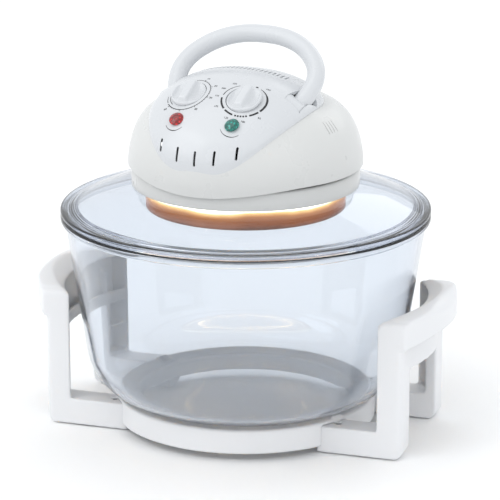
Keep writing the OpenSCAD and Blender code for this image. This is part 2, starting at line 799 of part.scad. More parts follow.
// Solid under one skin, carried straight down from its edge
module cover_mass(inner, low, n = 60, rings = 9) {
    levels = [for (j = [1 : rings]) sin(90 * j / rings)];
    skin = [for (k = levels) for (i = [0 : n - 1]) let (a = i * 360 / n) inner ? skin_in(a, k) : skin_out(a, k)];
    edge = [for (i = [0 : n - 1]) let (p = skin[(rings - 1) * n + i]) [p[0], p[1], low]];
    crown = [0, cover_y, crown_top - (inner ? shell_t : 0)];
    cap = [for (i = [0 : n - 1]) [0, 1 + (i + 1) % n, 1 + i]];
    sides = [for (j = [0 : rings - 1]) for (i = [0 : n - 1]) let (m = (i + 1) % n)
        each [[1 + j * n + i, 1 + j * n + m, 1 + (j + 1) * n + i],
              [1 + j * n + m, 1 + (j + 1) * n + m, 1 + (j + 1) * n + i]]];
    floor = [[for (i = [0 : n - 1]) 1 + rings * n + i]];
    polyhedron(concat([crown], skin, edge), concat(cap, sides, floor));
}

// The cover's wall, with its edge fitted over the housing's shoulder
module cover_shell() {
    difference() {
        cover_mass(false, house_edge - 2);
        cover_mass(true, house_edge - 4);
        rotate_extrude($fn = 90) housing_half(-2 * seat);
    }
}

module dial_place(s) {
    translate([s * dial_x, -dial_y, dial_z]) rotate([dial_tilt, 0, 0]) children();
}

module lens_place(s) {
    translate([s * dial_x, -lens_y, lens_z]) rotate([lens_tilt, 0, 0]) children();
}

slot_x = [-36, -17.5, 0, 17.5, 36];
slot_low = [267, 261.5, 259.5, 261.5, 267];
slot_h = [11, 12.5, 13, 12.5, 11];

module control_cover() {
    vents = 20;
    color(panel_white) difference() {
        cover_shell();
        for (s = [-1, 1]) {
            dial_place(s) cylinder(r = 5.4, h = 20, center = true, $fn = 32);
            lens_place(s) cylinder(r = lens_r - 1.4, h = 20, center = true, $fn = 32);
            lens_place(s) translate([0, 0, fit]) cylinder(r = lens_r + fit, h = 10, $fn = 48);
        }
        leg_slots();
        for (i = [0 : 4])
            translate([slot_x[i] - slot_w / 2, -120, slot_low[i]]) cube([slot_w, 36, slot_h[i]]);
        for (i = [0 : vents - 1])
            translate([(i - (vents - 1) / 2) * 4, 22, crown_top - 20]) cube([1.6, 7, 40]);
    }
}

// ---- carry handle and its safety switch ----

module pivot_place() { translate([0, -pivot_y, pivot_z]) children(); }

// Two uprights from the deck, each with a bore for a pivot pin
module handle_brackets() {
    foot_y = 30;
    color(white) difference() {
        for (s = [0, 1]) mirror([s, 0, 0]) {
            translate([bracket_x, -pivot_y - 9, deck_top + seat]) cube([bracket_t, 18, pivot_z - deck_top - seat]);
            translate([bracket_x, -pivot_y, pivot_z]) rotate([0, 90, 0]) cylinder(r = 9, h = bracket_t, $fn = 64);
            translate([bracket_x - 10, -pivot_y - 12, deck_top + seat]) cube([bracket_t + 12, 24, 3]);
            translate([bracket_x + 1, -pivot_y - 1, deck_top + seat]) cube([bracket_t + 6, 2, 24]);
        }
        pivot_place() rotate([0, 90, 0]) cylinder(r = pin_r + run_gap, h = 200, center = true, $fn = 64);
    }
}

module handle_pins() {
    color(steel) for (s = [0, 1]) mirror([s, 0, 0])
        pivot_place() translate([cam_x - 1, 0, 0]) rotate([0, 90, 0])
            cylinder(r = pin_r, h = handle_foot_w + 5 - cam_x + 1, $fn = 48);
}

// Spiral cam on the right pin: it pushes the plunger down as the handle folds back
function cam_r(a) = cam_rest_r - cam_rise * a * PI / 180;

module handle_cam() {
    from = handle_back - 25;
    to = handle_up + 25;
    steps = 24;
    spiral = [for (i = [0 : steps]) let (a = from + (to - from) * i / steps)
        [-cam_r(a) * sin(a), -cam_r(a) * cos(a)]];
    back = [for (i = [1 : 11]) let (a = to + (360 + from - to) * i / 12, r = pin_r + 1.6)
        [-r * sin(a), -r * cos(a)]];
    color([0.9, 0.9, 0.88]) pivot_place() translate([cam_x, 0, 0])
        rotate([90, 0, 90]) linear_extrude(5) difference() {
            polygon(concat(spiral, back));
            circle(r = pin_r + 0.02, $fn = 48);
        }
}

plunger_top = pivot_z - cam_rest_r - 0.5;
switch_top = pivot_z - cam_rest_r - 6;

module switch_plunger() {
    tip = 1.8;
    color([0.8, 0.2, 0.15]) translate([cam_x + 2.5, -pivot_y, 0]) {
        translate([0, 0, switch_top - 5]) cylinder(r = tip, h = plunger_top - tip - switch_top + 5, $fn = 32);
        translate([0, 0, plunger_top - tip]) sphere(r = tip, $fn = 32);
    }
}

module safety_switch() {
    h = 16;
    w = 10;
    color(dark) difference() {
        union() {
            translate([bracket_x - w - seat, -pivot_y - 7, switch_top - h]) cube([w, 20, h]);
            translate([bracket_x - w - seat, -pivot_y + 4, deck_top + 3 + 2 * seat])
                cube([w, 8, switch_top - h - deck_top - 3]);
        }
        translate([cam_x + 2.5, -pivot_y, switch_top - 9]) cylinder(r = 1.85, h = 20, $fn = 32);
    }
}

// The handle in its own plane: u across, v along its length
function arch_v(t) = handle_len * pow(abs(sin(t)), 0.87);
function arch_u(t) =
    let (k = min(1, arch_v(t) / handle_len * 1.6),
         w = handle_foot_w + (handle_w - handle_foot_w) * sin(90 * k))
    -w * sign(cos(t)) * pow(abs(cos(t)), 0.87);
function arch(t) = [arch_u(t), arch_v(t)];

module arch_tube(rings = 40, sides = 16) {
    foot = 3;
    path = concat([[-handle_foot_w, -2]], [for (i = [1 : rings - 1]) arch(4 + 172 * i / rings)],
        [[handle_foot_w, -2]]);
    n = len(path);
    function dir(i) = let (a = path[max(0, i - 1)], b = path[min(n - 1, i + 1)], d = b - a) d / norm(d);
    points = [for (i = [0 : n - 1]) for (j = [0 : sides - 1])
        let (d = i == 0 ? [0, 1] : (i == n - 1 ? [0, -1] : dir(i)), side = [d[1], -d[0]],
             a = j * 360 / sides, c = grip_r * cos(a), s = grip_r * sin(a))
        [path[i][0] + side[0] * c, s, path[i][1] + side[1] * c]];
    faces = concat(
        [for (i = [0 : n - 2]) for (j = [0 : sides - 1]) let (m = (j + 1) % sides)
            each [[i * sides + j, (i + 1) * sides + j, i * sides + m],
                  [i * sides + m, (i + 1) * sides + j, (i + 1) * sides + m]]],
        [[for (j = [0 : sides - 1]) j]],
        [[for (j = [0 : sides - 1]) n * sides - 1 - j]]);
    polyhedron(points, faces);
}

module carry_handle() {
    eye_w = 2 * grip_r - 3;
    color(white) pivot_place() rotate([-handle_lean, 0, 0]) difference() {
        union() {
            arch_tube();
            for (s = [-1, 1])
                translate([s * handle_foot_w, 0, 0]) rotate([0, 90, 0])
                    cylinder(r = grip_r, h = eye_w, center = true, $fn = 48);
        }
        rotate([0, 90, 0]) cylinder(r = pin_r + 0.03, h = 400, center = true, $fn = 48);
    }
}

// ---- controls ----

module knob(stem) {
    disc = 4.5;
    color(panel_white) {
        translate([0, 0, knob_gap]) {
            rotate_extrude($fn = 96) {
                square([knob_r - 1.5, disc]);
                square([knob_r, disc - 1.5]);
                translate([knob_r - 1.5, disc - 1.5]) circle(r = 1.5, $fn = 32);
            }
            intersection() {
                translate([-4.2, -knob_r, disc - 1]) cube([8.4, 2 * knob_r, grip_h + 1]);
                translate([0, 0, disc - 1]) cylinder(r1 = knob_r - 0.6, r2 = knob_r - 3.5, h = grip_h + 1, $fn = 64);
            }
        }
        translate([0, 0, -stem]) cylinder(r = 3, h = stem + knob_gap + 1, $fn = 48);
    }
}

module timer_knob() { dial_place(-1) knob(9); }

module thermostat_knob() { dial_place(1) knob(9); }

// A control unit under the cover: its box, and a bush that steadies the knob's shaft
module control_unit(w, h, tint) {
    depth = 10.5;
    color(tint) difference() {
        union() {
            translate([-w / 2, -w / 2, -depth - h]) cube([w, w, h]);
            translate([0, 0, -depth - 1]) cylinder(r = 5, h = depth - 2.5, $fn = 48);
        }
        translate([0, 0, -10]) cylinder(r = 3 + run_gap, h = 20, $fn = 48);
    }
}

module timer_unit() { dial_place(-1) control_unit(30, 18, [0.78, 0.78, 0.74]); }

module thermostat_unit() { dial_place(1) control_unit(28, 17, [0.70, 0.71, 0.73]); }

module lens() {
    rotate_extrude($fn = 64) {
        intersection() {
            translate([0, -lens_r * 1.1]) circle(r = lens_r * 1.65, $fn = 96);
            translate([0, 1.2]) square([lens_r, 8]);
        }
        translate([0, 0.4]) square([lens_r, 1.2]);
        translate([0, -9]) square([lens_r - 1.7, 10]);
    }
}

module power_lens() { color([0.75, 0.05, 0.06]) lens_place(-1) lens(); }

module heat_lens() { color([0.0, 0.45, 0.38]) lens_place(1) lens(); }

module indicator_lamps() {
    color([0.95, 0.85, 0.7]) for (s = [-1, 1]) lens_place(s)
        translate([0, 0, -22]) cylinder(r = 3.4, h = 13 - seat, $fn = 32);
}

module terminal_block() {
    color([0.92, 0.9, 0.84]) difference() {
        translate([-22, 56, deck_top + seat]) cube([44, 16, 14]);
        for (i = [-1.5 : 1 : 1.5])
            translate([i * 10, 64, deck_top + 6]) cylinder(r = 2.4, h = 20, $fn = 32);
    }
}

module gland_place() { translate([0, house_r - 2, house_edge + 14]) rotate([-90, 0, 0]) children(); }

// Inlet bush at the back of the housing
module cord_gland() {
    color(white) gland_place() difference() {
        union() {
            translate([0, 0, -8]) cylinder(r = 6, h = 14, $fn = 48);
            translate([0, 0, 2.5]) cylinder(r = 8.5, h = 3.5, $fn = 48);
            translate([0, 0, -8]) cylinder(r = 8, h = 3, $fn = 48);
        }
        translate([0, 0, -20]) cylinder(r = 3.6, h = 60, $fn = 48);
    }
}

stand_ring();
left_side_frame();
right_side_frame();
frame_screws();
rubber_feet();
glass_bowl();
glass_lid();
lid_collar();
heater_shroud();
reflector();
insulation_board();
wire_guard();
guard_screws();
halogen_tube();
tube_holders();
convection_fan();
cooling_fan();
motor_shaft();
motor_core();
motor_coil();
motor_bracket();
deck_plate();
head_housing();
housing_screws();
control_cover();
handle_brackets();
timer_unit();
thermostat_unit();
timer_knob();
thermostat_knob();
power_lens();
heat_lens();
indicator_lamps();
safety_switch();
switch_plunger();
carry_handle();
handle_pins();
handle_cam();
terminal_block();
cord_gland();
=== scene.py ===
"""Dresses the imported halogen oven: glass, mouldings, printed dials, lamp and heater, on a plain pale floor.

Run as a script. Sizes below are in millimetres unless a property says otherwise; meshes are in metres.
"""

import math

import bmesh
import bpy
from mathutils import Matrix, Vector
from mathutils.bvhtree import BVHTree


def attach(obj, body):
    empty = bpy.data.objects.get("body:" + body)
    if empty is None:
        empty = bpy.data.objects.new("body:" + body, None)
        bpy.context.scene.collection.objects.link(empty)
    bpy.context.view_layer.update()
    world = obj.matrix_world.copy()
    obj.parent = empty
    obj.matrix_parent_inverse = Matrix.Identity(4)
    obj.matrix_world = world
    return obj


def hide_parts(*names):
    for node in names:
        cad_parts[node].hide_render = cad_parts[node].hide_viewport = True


bl_info = {
    "name": "Halogen Oven Builder",
    "version": (1, 0, 0),
    "blender": (4, 5, 0),
    "location": "View3D > Sidebar > Oven",
    "description": "Builds the glass, mouldings, dials and heater of a halogen oven around its CAD frame",
    "category": "Add Mesh",
}

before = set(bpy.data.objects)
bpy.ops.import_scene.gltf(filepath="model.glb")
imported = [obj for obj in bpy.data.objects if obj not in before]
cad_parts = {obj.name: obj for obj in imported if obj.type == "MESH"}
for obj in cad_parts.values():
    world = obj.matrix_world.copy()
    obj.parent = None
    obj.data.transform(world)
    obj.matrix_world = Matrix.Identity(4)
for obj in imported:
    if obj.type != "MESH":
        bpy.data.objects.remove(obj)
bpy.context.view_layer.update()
MM = 0.001
CENTRE_LINE = Vector((0, 0, 1))


# ---------------------------------------------------------------- sizes and colours a user would change


class StageSettings(bpy.types.PropertyGroup):
    azimuth: bpy.props.FloatProperty(
        name="Camera azimuth", description="Turn of the camera to the right of the control panel",
        default=math.radians(25.5), subtype="ANGLE", unit="ROTATION")
    elevation: bpy.props.FloatProperty(
        name="Camera elevation", description="Height of the camera above the horizon",
        default=math.radians(17.12), subtype="ANGLE", unit="ROTATION")
    distance: bpy.props.FloatProperty(
        name="Camera distance", description="Distance of the camera from the middle of the bowl",
        default=2.65, subtype="DISTANCE", unit="LENGTH")
    lens: bpy.props.FloatProperty(
        name="Focal length", description="Focal length of the camera in millimetres", default=212.4)
    floor_colour: bpy.props.FloatVectorProperty(
        name="Floor colour", description="Colour of the floor", default=(0.96, 0.96, 0.96), subtype="COLOR")
    sky_colour: bpy.props.FloatVectorProperty(
        name="Sky colour", description="Colour of the light all round",
        default=(0.96, 0.98, 1.0), subtype="COLOR")
    sky_strength: bpy.props.FloatProperty(
        name="Sky strength", description="Strength of the light all round", default=1.02)


class FinishSettings(bpy.types.PropertyGroup):
    stand_colour: bpy.props.FloatVectorProperty(
        name="Stand", description="Colour of the stand's plastic",
        default=(0.79, 0.795, 0.81), subtype="COLOR")
    housing_colour: bpy.props.FloatVectorProperty(
        name="Housing", description="Colour of the head's plastic",
        default=(0.655, 0.66, 0.65), subtype="COLOR")
    panel_colour: bpy.props.FloatVectorProperty(
        name="Control cover", description="Colour of the control cover and knobs",
        default=(0.635, 0.65, 0.67), subtype="COLOR")
    glass_colour: bpy.props.FloatVectorProperty(
        name="Glass", description="Tint of the bowl and the lid",
        default=(0.93, 0.955, 0.975), subtype="COLOR")
    print_colour: bpy.props.FloatVectorProperty(
        name="Print", description="Colour of the printed scales",
        default=(0.012, 0.012, 0.014), subtype="COLOR")
    red_colour: bpy.props.FloatVectorProperty(
        name="Red lens", description="Colour of the left lamp's lens",
        default=(0.42, 0.008, 0.01), subtype="COLOR")
    green_colour: bpy.props.FloatVectorProperty(
        name="Green lens", description="Colour of the right lamp's lens",
        default=(0.0, 0.21, 0.17), subtype="COLOR")
    # Painted glow: strength of the emission painted on the heater band in place of the lamp's light
    painted_glow_strength: bpy.props.FloatProperty(
        name="Glow", description="Strength of the heater band's glow along its top", default=3.0)


class PanelSettings(bpy.types.PropertyGroup):
    knob_radius: bpy.props.FloatProperty(
        name="Knob radius", description="Radius of a knob's disc", default=15.5 * MM, subtype="DISTANCE",
        unit="LENGTH")
    grip_height: bpy.props.FloatProperty(
        name="Grip height", description="Height of a knob's grip above its disc",
        default=4.6 * MM, subtype="DISTANCE", unit="LENGTH")
    ring_radius: bpy.props.FloatProperty(
        name="Scale radius", description="Radius of the printed ring round a knob", default=19.6 * MM,
        subtype="DISTANCE", unit="LENGTH")
    number_height: bpy.props.FloatProperty(
        name="Number height", description="Height of the printed numbers",
        default=3.0 * MM, subtype="DISTANCE", unit="LENGTH")
    lens_radius: bpy.props.FloatProperty(
        name="Lens radius", description="Radius of a lamp's lens", default=6.5 * MM, subtype="DISTANCE",
        unit="LENGTH")


class HeaterSettings(bpy.types.PropertyGroup):
    tube_ring: bpy.props.FloatProperty(
        name="Lamp ring", description="Radius of the ring that the lamp follows", default=64 * MM,
        subtype="DISTANCE", unit="LENGTH")
    coil_radius: bpy.props.FloatProperty(
        name="Filament radius", description="Radius of the filament's coil",
        default=1.5 * MM, subtype="DISTANCE", unit="LENGTH")
    coil_turns: bpy.props.IntProperty(
        name="Filament turns", description="Turns of the filament in each half of the lamp", default=70)
    guard_rings: bpy.props.IntProperty(
        name="Guard rings", description="Rings of wire in the guard", default=6)
    guard_spokes: bpy.props.IntProperty(
        name="Guard spokes", description="Spokes of wire in the guard", default=6)


# ---------------------------------------------------------------- materials

FINISHES = {}


class Finish:
    """One node material with a Principled shader and a few short ways of adding to it."""

    def __init__(self, name, colour, roughness, **sockets):
        self.mat = bpy.data.materials.new(name)
        self.mat.use_nodes = True
        self.nodes = self.mat.node_tree.nodes
        self.links = self.mat.node_tree.links
        self.shader = self.nodes["Principled BSDF"]
        self.out = self.nodes["Material Output"]
        self.shader.inputs["Base Color"].default_value = (*colour, 1)
        self.shader.inputs["Roughness"].default_value = roughness
        for socket, value in sockets.items():
            self.shader.inputs[socket.replace("_", " ")].default_value = value
        self.colour = colour
        self.where = self.nodes.new("ShaderNodeTexCoord").outputs["Object"]
        FINISHES[name] = self.mat

    def add(self, kind, **values):
        node = self.nodes.new(kind)
        for key, value in values.items():
            if hasattr(node, key):
                setattr(node, key, value)
            else:
                node.inputs[key.replace("_", " ")].default_value = value
        return node

    def noise(self, scale, detail=2.0, rough=0.5, stretch=None):
        place = self.where
        if stretch:
            mapping = self.add("ShaderNodeMapping")
            mapping.inputs["Scale"].default_value = stretch
            self.links.new(self.where, mapping.inputs["Vector"])
            place = mapping.outputs["Vector"]
        node = self.add("ShaderNodeTexNoise", Scale=scale, Detail=detail, Roughness=rough)
        self.links.new(place, node.inputs["Vector"])
        return node.outputs["Fac"]

    def ramp(self, factor, *stops):
        node = self.add("ShaderNodeValToRGB")
        points = node.color_ramp.elements
        while len(points) < len(stops):
            points.new(0.5)
        for point, (at, colour) in zip(points, stops):
            point.position = at
            point.color = (*colour, 1) if hasattr(colour, "__len__") else (colour, colour, colour, 1)
        self.links.new(factor, node.inputs["Fac"])
        return node.outputs["Color"]

    def span(self, value, low, high, start, end):
        node = self.add("ShaderNodeMapRange")
        for socket, number in zip(("From Min", "From Max", "To Min", "To Max"), (low, high, start, end)):
            node.inputs[socket].default_value = number
        self.links.new(value, node.inputs["Value"])
        return node.outputs["Result"]

    def axis(self, letter):
        node = self.add("ShaderNodeSeparateXYZ")
        self.links.new(self.where, node.inputs["Vector"])
        return node.outputs[letter]

    def drive(self, value, socket):
        self.links.new(value, self.shader.inputs[socket])
        return self

    def vary_colour(self, factor, dark, light):
        """Colour between dark and light shares of the finish's own colour."""
        self.drive(self.ramp(factor, (0.3, [c * dark for c in self.colour]),
                             (0.7, [min(1, c * light) for c in self.colour])), "Base Color")
        return self

    def relief(self, height, strength, depth):
        node = self.add("ShaderNodeBump", Strength=strength, Distance=depth)
        self.links.new(height, node.inputs["Height"])
        self.drive(node.outputs["Normal"], "Normal")
        return self


def moulded_plastic(name, colour, roughness=0.3, grain=0.04, flow=9.0):
    """Injection-moulded plastic: faint flow marks, uneven gloss and a fine skin."""
    made = Finish(name, colour, roughness, Specular_IOR_Level=0.5, Coat_Weight=0.12, Coat_Roughness=0.12)
    made.vary_colour(made.noise(flow, 3.0), 0.985, 1.01)
    made.drive(made.span(made.noise(38.0, 3.0), 0.3, 0.7, roughness - 0.05, roughness + 0.07), "Roughness")
    made.relief(made.noise(900.0, 2.0), grain, 0.0002)
    return made.mat


def clear_glass(name, colour, smoke):
    """Heat-proof glass, tinted a little, darker where it is seen along its length, with faint ripples."""
    made = Finish(name, colour, 0.0, IOR=1.47, Transmission_Weight=1.0, Specular_IOR_Level=0.5)
    made.relief(made.noise(14.0, 1.0), 0.05, 0.0005)
    inside = made.add("ShaderNodeVolumeAbsorption")
    inside.inputs["Color"].default_value = (0.40, 0.45, 0.58, 1)
    inside.inputs["Density"].default_value = smoke
    made.links.new(inside.outputs["Volume"], made.out.inputs["Volume"])
    return made.mat


def brushed_metal(name, colour, roughness=0.3, stretch=(1, 1, 40)):
    """Sheet metal with fine rolling marks along one way and uneven polish."""
    made = Finish(name, colour, roughness, Metallic=1.0)
    marks = made.noise(60.0, 4.0, 0.6, stretch)
    made.vary_colour(marks, 0.88, 1.06)
    made.drive(made.span(marks, 0.3, 0.7, roughness - 0.08, roughness + 0.14), "Roughness")
    made.relief(marks, 0.05, 0.0001)
    return made.mat


def band_with_painted_glow(name, strength):
    """The steel band lit from behind by the lamp, with that light painted on as emission: painted glow, white
    by its top edge, orange and brown below.
    """
    # Painted light: the brown base colour and the emission stand in for the lamp's light on the steel,
    # brighter towards the top edge
    made = Finish(name, (0.15, 0.065, 0.035), 0.24, Metallic=1.0)
    height = made.span(made.axis("Z"), 0.2, 0.2165, 0.0, 1.0)
    cloud = made.noise(22.0, 2.0, 0.5, (1, 1, 0.35))
    shift = made.add("ShaderNodeMath", operation="ADD")
    made.links.new(height, shift.inputs[0])
    made.links.new(made.span(cloud, 0.3, 0.7, -0.08, 0.08), shift.inputs[1])
    hue = made.ramp(shift.outputs[0], (0.0, (0.12, 0.035, 0.03)), (0.16, (0.36, 0.11, 0.05)),
                    (0.45, (0.50, 0.17, 0.06)), (0.66, (0.72, 0.30, 0.09)), (0.82, (0.98, 0.66, 0.26)),
                    (0.92, (1.0, 0.97, 0.80)))
    made.drive(hue, "Emission Color")
    glow = made.ramp(shift.outputs[0], (0.0, 0.5), (0.6, 0.8), (0.84, 1.6), (1.0, strength))
    made.drive(glow, "Emission Strength")
    return made.mat


def coloured_lens(name, colour, glow):
    """Prismatic lamp lens: deep colour and the lamp's glow, with painted light in the facets: brighter and
    darker facets stand in for the lamp's light refracted through the prism.
    """
    made = Finish(name, colour, 0.08, IOR=1.49, Transmission_Weight=0.25, Coat_Weight=0.6,
                  Coat_Roughness=0.03)
    facets = made.add("ShaderNodeTexVoronoi", Scale=420.0)
    made.links.new(made.where, facets.inputs["Vector"])
    spread = made.span(facets.outputs["Distance"], 0.0, 0.8, 0.0, 1.0)
    # Painted light and shade: each facet's bright and dark colour stands in for light refracted through the
    # prism
    for socket, bright, lift, end, dark in (("Base Color", 1.9, 0.01, 0.75, 0.45),
                                            ("Emission Color", 2.2, 0.0, 0.6, 0.3)):
        made.drive(made.ramp(spread, (0.0, [min(1, c * bright + lift) for c in colour]),
                             (end, [c * dark for c in colour])), socket)
    made.shader.inputs["Emission Strength"].default_value = glow
    made.relief(facets.outputs["Distance"], 0.3, 0.0004)
    return made.mat


def plain_rough(name, colour, roughness, scale, dark=0.8, light=1.1, depth=0.0003):
    """Dull stuff with a visible grain, such as rubber, ceramic, board and laminated iron."""
    made = Finish(name, colour, roughness)
    grain = made.noise(scale, 4.0, 0.6)
    made.vary_colour(grain, dark, light)
    made.drive(made.span(grain, 0.3, 0.7, roughness - 0.08, min(1, roughness + 0.08)), "Roughness")
    made.relief(grain, 0.2, depth)
    return made.mat


def wound_wire(name, colour):
    """Enamelled copper wire laid in turns."""
    made = Finish(name, colour, 0.3, Metallic=0.8, Coat_Weight=0.5)
    turns = made.add("ShaderNodeTexWave", Scale=260.0, Distortion=1.0, bands_direction="Z")
    made.links.new(made.where, turns.inputs["Vector"])
    made.vary_colour(turns.outputs["Fac"], 0.5, 1.2)
    made.relief(turns.outputs["Fac"], 0.6, 0.0004)
    return made.mat


def hot_filament(name):
    """Tungsten coil at white heat."""
    made = Finish(name, (1.0, 0.72, 0.38), 0.5)
    heat = made.ramp(made.noise(120.0), (0.3, (1.0, 0.62, 0.25)), (0.7, (1.0, 0.86, 0.6)))
    made.drive(heat, "Emission Color")
    made.shader.inputs["Emission Strength"].default_value = 60.0
    return made.mat


def make_finishes(colours):
    moulded_plastic("stand plastic", colours.stand_colour, 0.34, 0.05)
    moulded_plastic("housing plastic", colours.housing_colour, 0.30, 0.03)
    moulded_plastic("panel plastic", colours.panel_colour, 0.24, 0.02)
    moulded_plastic("knob plastic", [c * 1.02 for c in colours.panel_colour], 0.22, 0.02, 30.0)
    moulded_plastic("black plastic", (0.02, 0.02, 0.022), 0.4, 0.1)
    moulded_plastic("unit plastic", (0.62, 0.61, 0.56), 0.45, 0.1)
    moulded_plastic("plunger plastic", (0.6, 0.03, 0.02), 0.35, 0.05)
    clear_glass("bowl glass", colours.glass_colour, 36.0)
    clear_glass("lid glass", colours.glass_colour, 44.0)
    clear_glass("quartz", (0.99, 0.99, 1.0), 0.5)
    brushed_metal("band steel", (0.70, 0.70, 0.71), 0.26)
    brushed_metal("bright alloy", (0.80, 0.80, 0.81), 0.2, (1, 1, 1))
    brushed_metal("screw steel", (0.58, 0.58, 0.60), 0.28, (30, 1, 1))
    brushed_metal("wire steel", (0.76, 0.75, 0.73), 0.18, (1, 1, 1))
    # The heater band takes the lamp's light as painted glow
    band_with_painted_glow("band with painted glow", colours.painted_glow_strength)
    coloured_lens("red lens", colours.red_colour, 0.35)
    coloured_lens("green lens", colours.green_colour, 0.4)
    plain_rough("foot rubber", (0.03, 0.03, 0.032), 0.8, 500.0)
    plain_rough("ceramic", (0.86, 0.83, 0.76), 0.7, 700.0, 0.93, 1.04)
    plain_rough("insulation board", (0.72, 0.66, 0.54), 0.9, 350.0, 0.8, 1.12)
    plain_rough("core iron", (0.22, 0.22, 0.23), 0.55, 220.0)
    plain_rough("lamp glass", (0.9, 0.82, 0.66), 0.25, 300.0, 0.94, 1.03)
    plain_rough("print ink", colours.print_colour, 0.45, 900.0, 0.9, 1.3, 0.00005)
    wound_wire("coil wire", (0.62, 0.28, 0.10))
    hot_filament("hot filament")


# ---------------------------------------------------------------- mesh helpers


def paint(obj, finish):
    obj.data.materials.clear()
    obj.data.materials.append(FINISHES[finish])


def add_piece(name, mesh, finish, body, slot, *stands_for, corner=30):
    """A finished piece: object at the origin, faces smooth up to the corner angle, riding on its body."""
    obj = bpy.data.objects.new(name, mesh)
    bpy.context.scene.collection.objects.link(obj)
    mesh.shade_smooth()
    mesh.set_sharp_from_angle(angle=math.radians(corner))
    paint(obj, finish)
    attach(obj, body)
    if stands_for:
        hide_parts(*stands_for)
    return obj


def mesh_from(bm, name):
    mesh = bpy.data.meshes.new(name)
    bmesh.ops.recalc_face_normals(bm, faces=bm.faces)
    bm.to_mesh(mesh)
    bm.free()
    return mesh


def with_modifiers(mesh, *settings):
    """The mesh after each modifier, given as (kind, {property: value})."""
    obj = bpy.data.objects.new("working", mesh)
    bpy.context.scene.collection.objects.link(obj)
    for kind, values in settings:
        modifier = obj.modifiers.new(kind, kind)
        for key, value in values.items():
            setattr(modifier, key, value)
    bpy.context.view_layer.update()
    done = bpy.data.meshes.new_from_object(obj.evaluated_get(bpy.context.evaluated_depsgraph_get()))
    bpy.data.objects.remove(obj)
    return done


def softened(mesh, grain, passes):
    """The solid with all its edges rounded off, as a moulding's are. The grain is in millimetres."""
    return with_modifiers(mesh, ("REMESH", {"mode": "VOXEL", "voxel_size": grain * MM}),
                          ("SMOOTH", {"factor": 0.5, "iterations": passes}))


def carved(mesh, *tools):
    """The solid after each tool, given as (operation, mesh)."""
    objects = [bpy.data.objects.new("tool", tool) for _, tool in tools]
    for obj in objects:
        bpy.context.scene.collection.objects.link(obj)
    done = with_modifiers(mesh, *[("BOOLEAN", {"operation": operation, "object": obj, "solver": "EXACT"})
                                  for (operation, _), obj in zip(tools, objects)])
    for obj in objects:
        bpy.data.objects.remove(obj)
    return done


def joined(*meshes):
    """Several meshes as one. The first keeps its name."""
    bm = bmesh.new()
    for mesh in meshes:
        bm.from_mesh(mesh)
    made = bpy.data.meshes.new(meshes[0].name)
    bm.to_mesh(made)
    bm.free()
    return made


def solid_copy(node, flat=0.5):
    """A CAD node's mesh with its triangles joined and its flat faces made whole."""
    bm = bmesh.new()
    bm.from_mesh(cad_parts[node].data)
    bmesh.ops.remove_doubles(bm, verts=bm.verts, dist=4e-6)
    bmesh.ops.dissolve_limit(bm, angle_limit=math.radians(flat), verts=bm.verts, edges=bm.edges)
    return mesh_from(bm, node)


def round_corners(points, steps=6):
    """A closed outline of (x, z) or (x, z, radius) with each corner rounded to its radius."""
    out = []
    count = len(points)
    for i, point in enumerate(points):
        here = Vector(point[:2])
        radius = point[2] if len(point) > 2 else 0
        before = (Vector(points[i - 1][:2]) - here)
        after = (Vector(points[(i + 1) % count][:2]) - here)
        if radius <= 0 or before.length < 1e-9 or after.length < 1e-9:
            out.append(here)
            continue
        a, b = before.normalized(), after.normalized()
        half = a.angle(b) / 2
        if half < 0.02 or half > math.pi / 2 - 0.02:
            out.append(here)
            continue
        run = min(radius / math.tan(half), before.length * 0.49, after.length * 0.49)
        centre = here + (a + b).normalized() * (run / math.cos(half))
        start, end = here + a * run - centre, here + b * run - centre
        sweep = start.angle_signed(end)
        for k in range(steps + 1):
            out.append(centre + Matrix.Rotation(-sweep * k / steps, 2) @ start)
    return out


def arc_points(cx, cz, radius, start, end, steps):
    """Points of an arc from start to end, in degrees."""
    turns = [math.radians(start + (end - start) * k / steps) for k in range(steps + 1)]
    return [(cx + radius * math.cos(t), cz + radius * math.sin(t)) for t in turns]


def lathe(name, outline, segments=256, closed=True):
    """Turns an outline of (radius, height) round the centre line. An open one has both ends on it."""
    bm = bmesh.new()
    rings = []
    for r, z in outline:
        if r < 1e-6:
            rings.append([bm.verts.new((0, 0, z * MM))])
            continue
        rings.append([bm.verts.new((r * MM * math.cos(t), r * MM * math.sin(t), z * MM))
                      for t in (2 * math.pi * k / segments for k in range(segments))])
    pairs = list(zip(rings, rings[1:])) + ([(rings[-1], rings[0])] if closed else [])
    for low, high in pairs:
        for k in range(segments):
            m = (k + 1) % segments
            loop = [low[k % len(low)], low[m % len(low)], high[m % len(high)], high[k % len(high)]]
            loop = [v for i, v in enumerate(loop) if v not in loop[:i]]
            if len(loop) > 2:
                bm.faces.new(loop)
    return mesh_from(bm, name)


def prism(outline, low, high, place=Matrix.Identity(4)):
    """An upright solid over an outline of (x, y) in metres, set where place says."""
    bm = bmesh.new()
    bottom = [bm.verts.new(place @ Vector((x, y, low))) for x, y in outline]
    top = [bm.verts.new(place @ Vector((x, y, high))) for x, y in outline]
    bm.faces.new(bottom[::-1])
    bm.faces.new(top)
    count = len(outline)
    for i in range(count):
        bm.faces.new([bottom[i], bottom[(i + 1) % count], top[(i + 1) % count], top[i]])
    return mesh_from(bm, "prism")


def circle_outline(radius, count=48):
    return [(radius * math.cos(2 * math.pi * k / count), radius * math.sin(2 * math.pi * k / count))
            for k in range(count)]


def slot_outline(width, height, steps=8):
    """Outline of an upright slot with round ends, from its lower end up."""
    r = width / 2
    low = arc_points(0, r, r, 180, 360, steps)
    high = arc_points(0, height - r, r, 0, 180, steps)
    return low + high


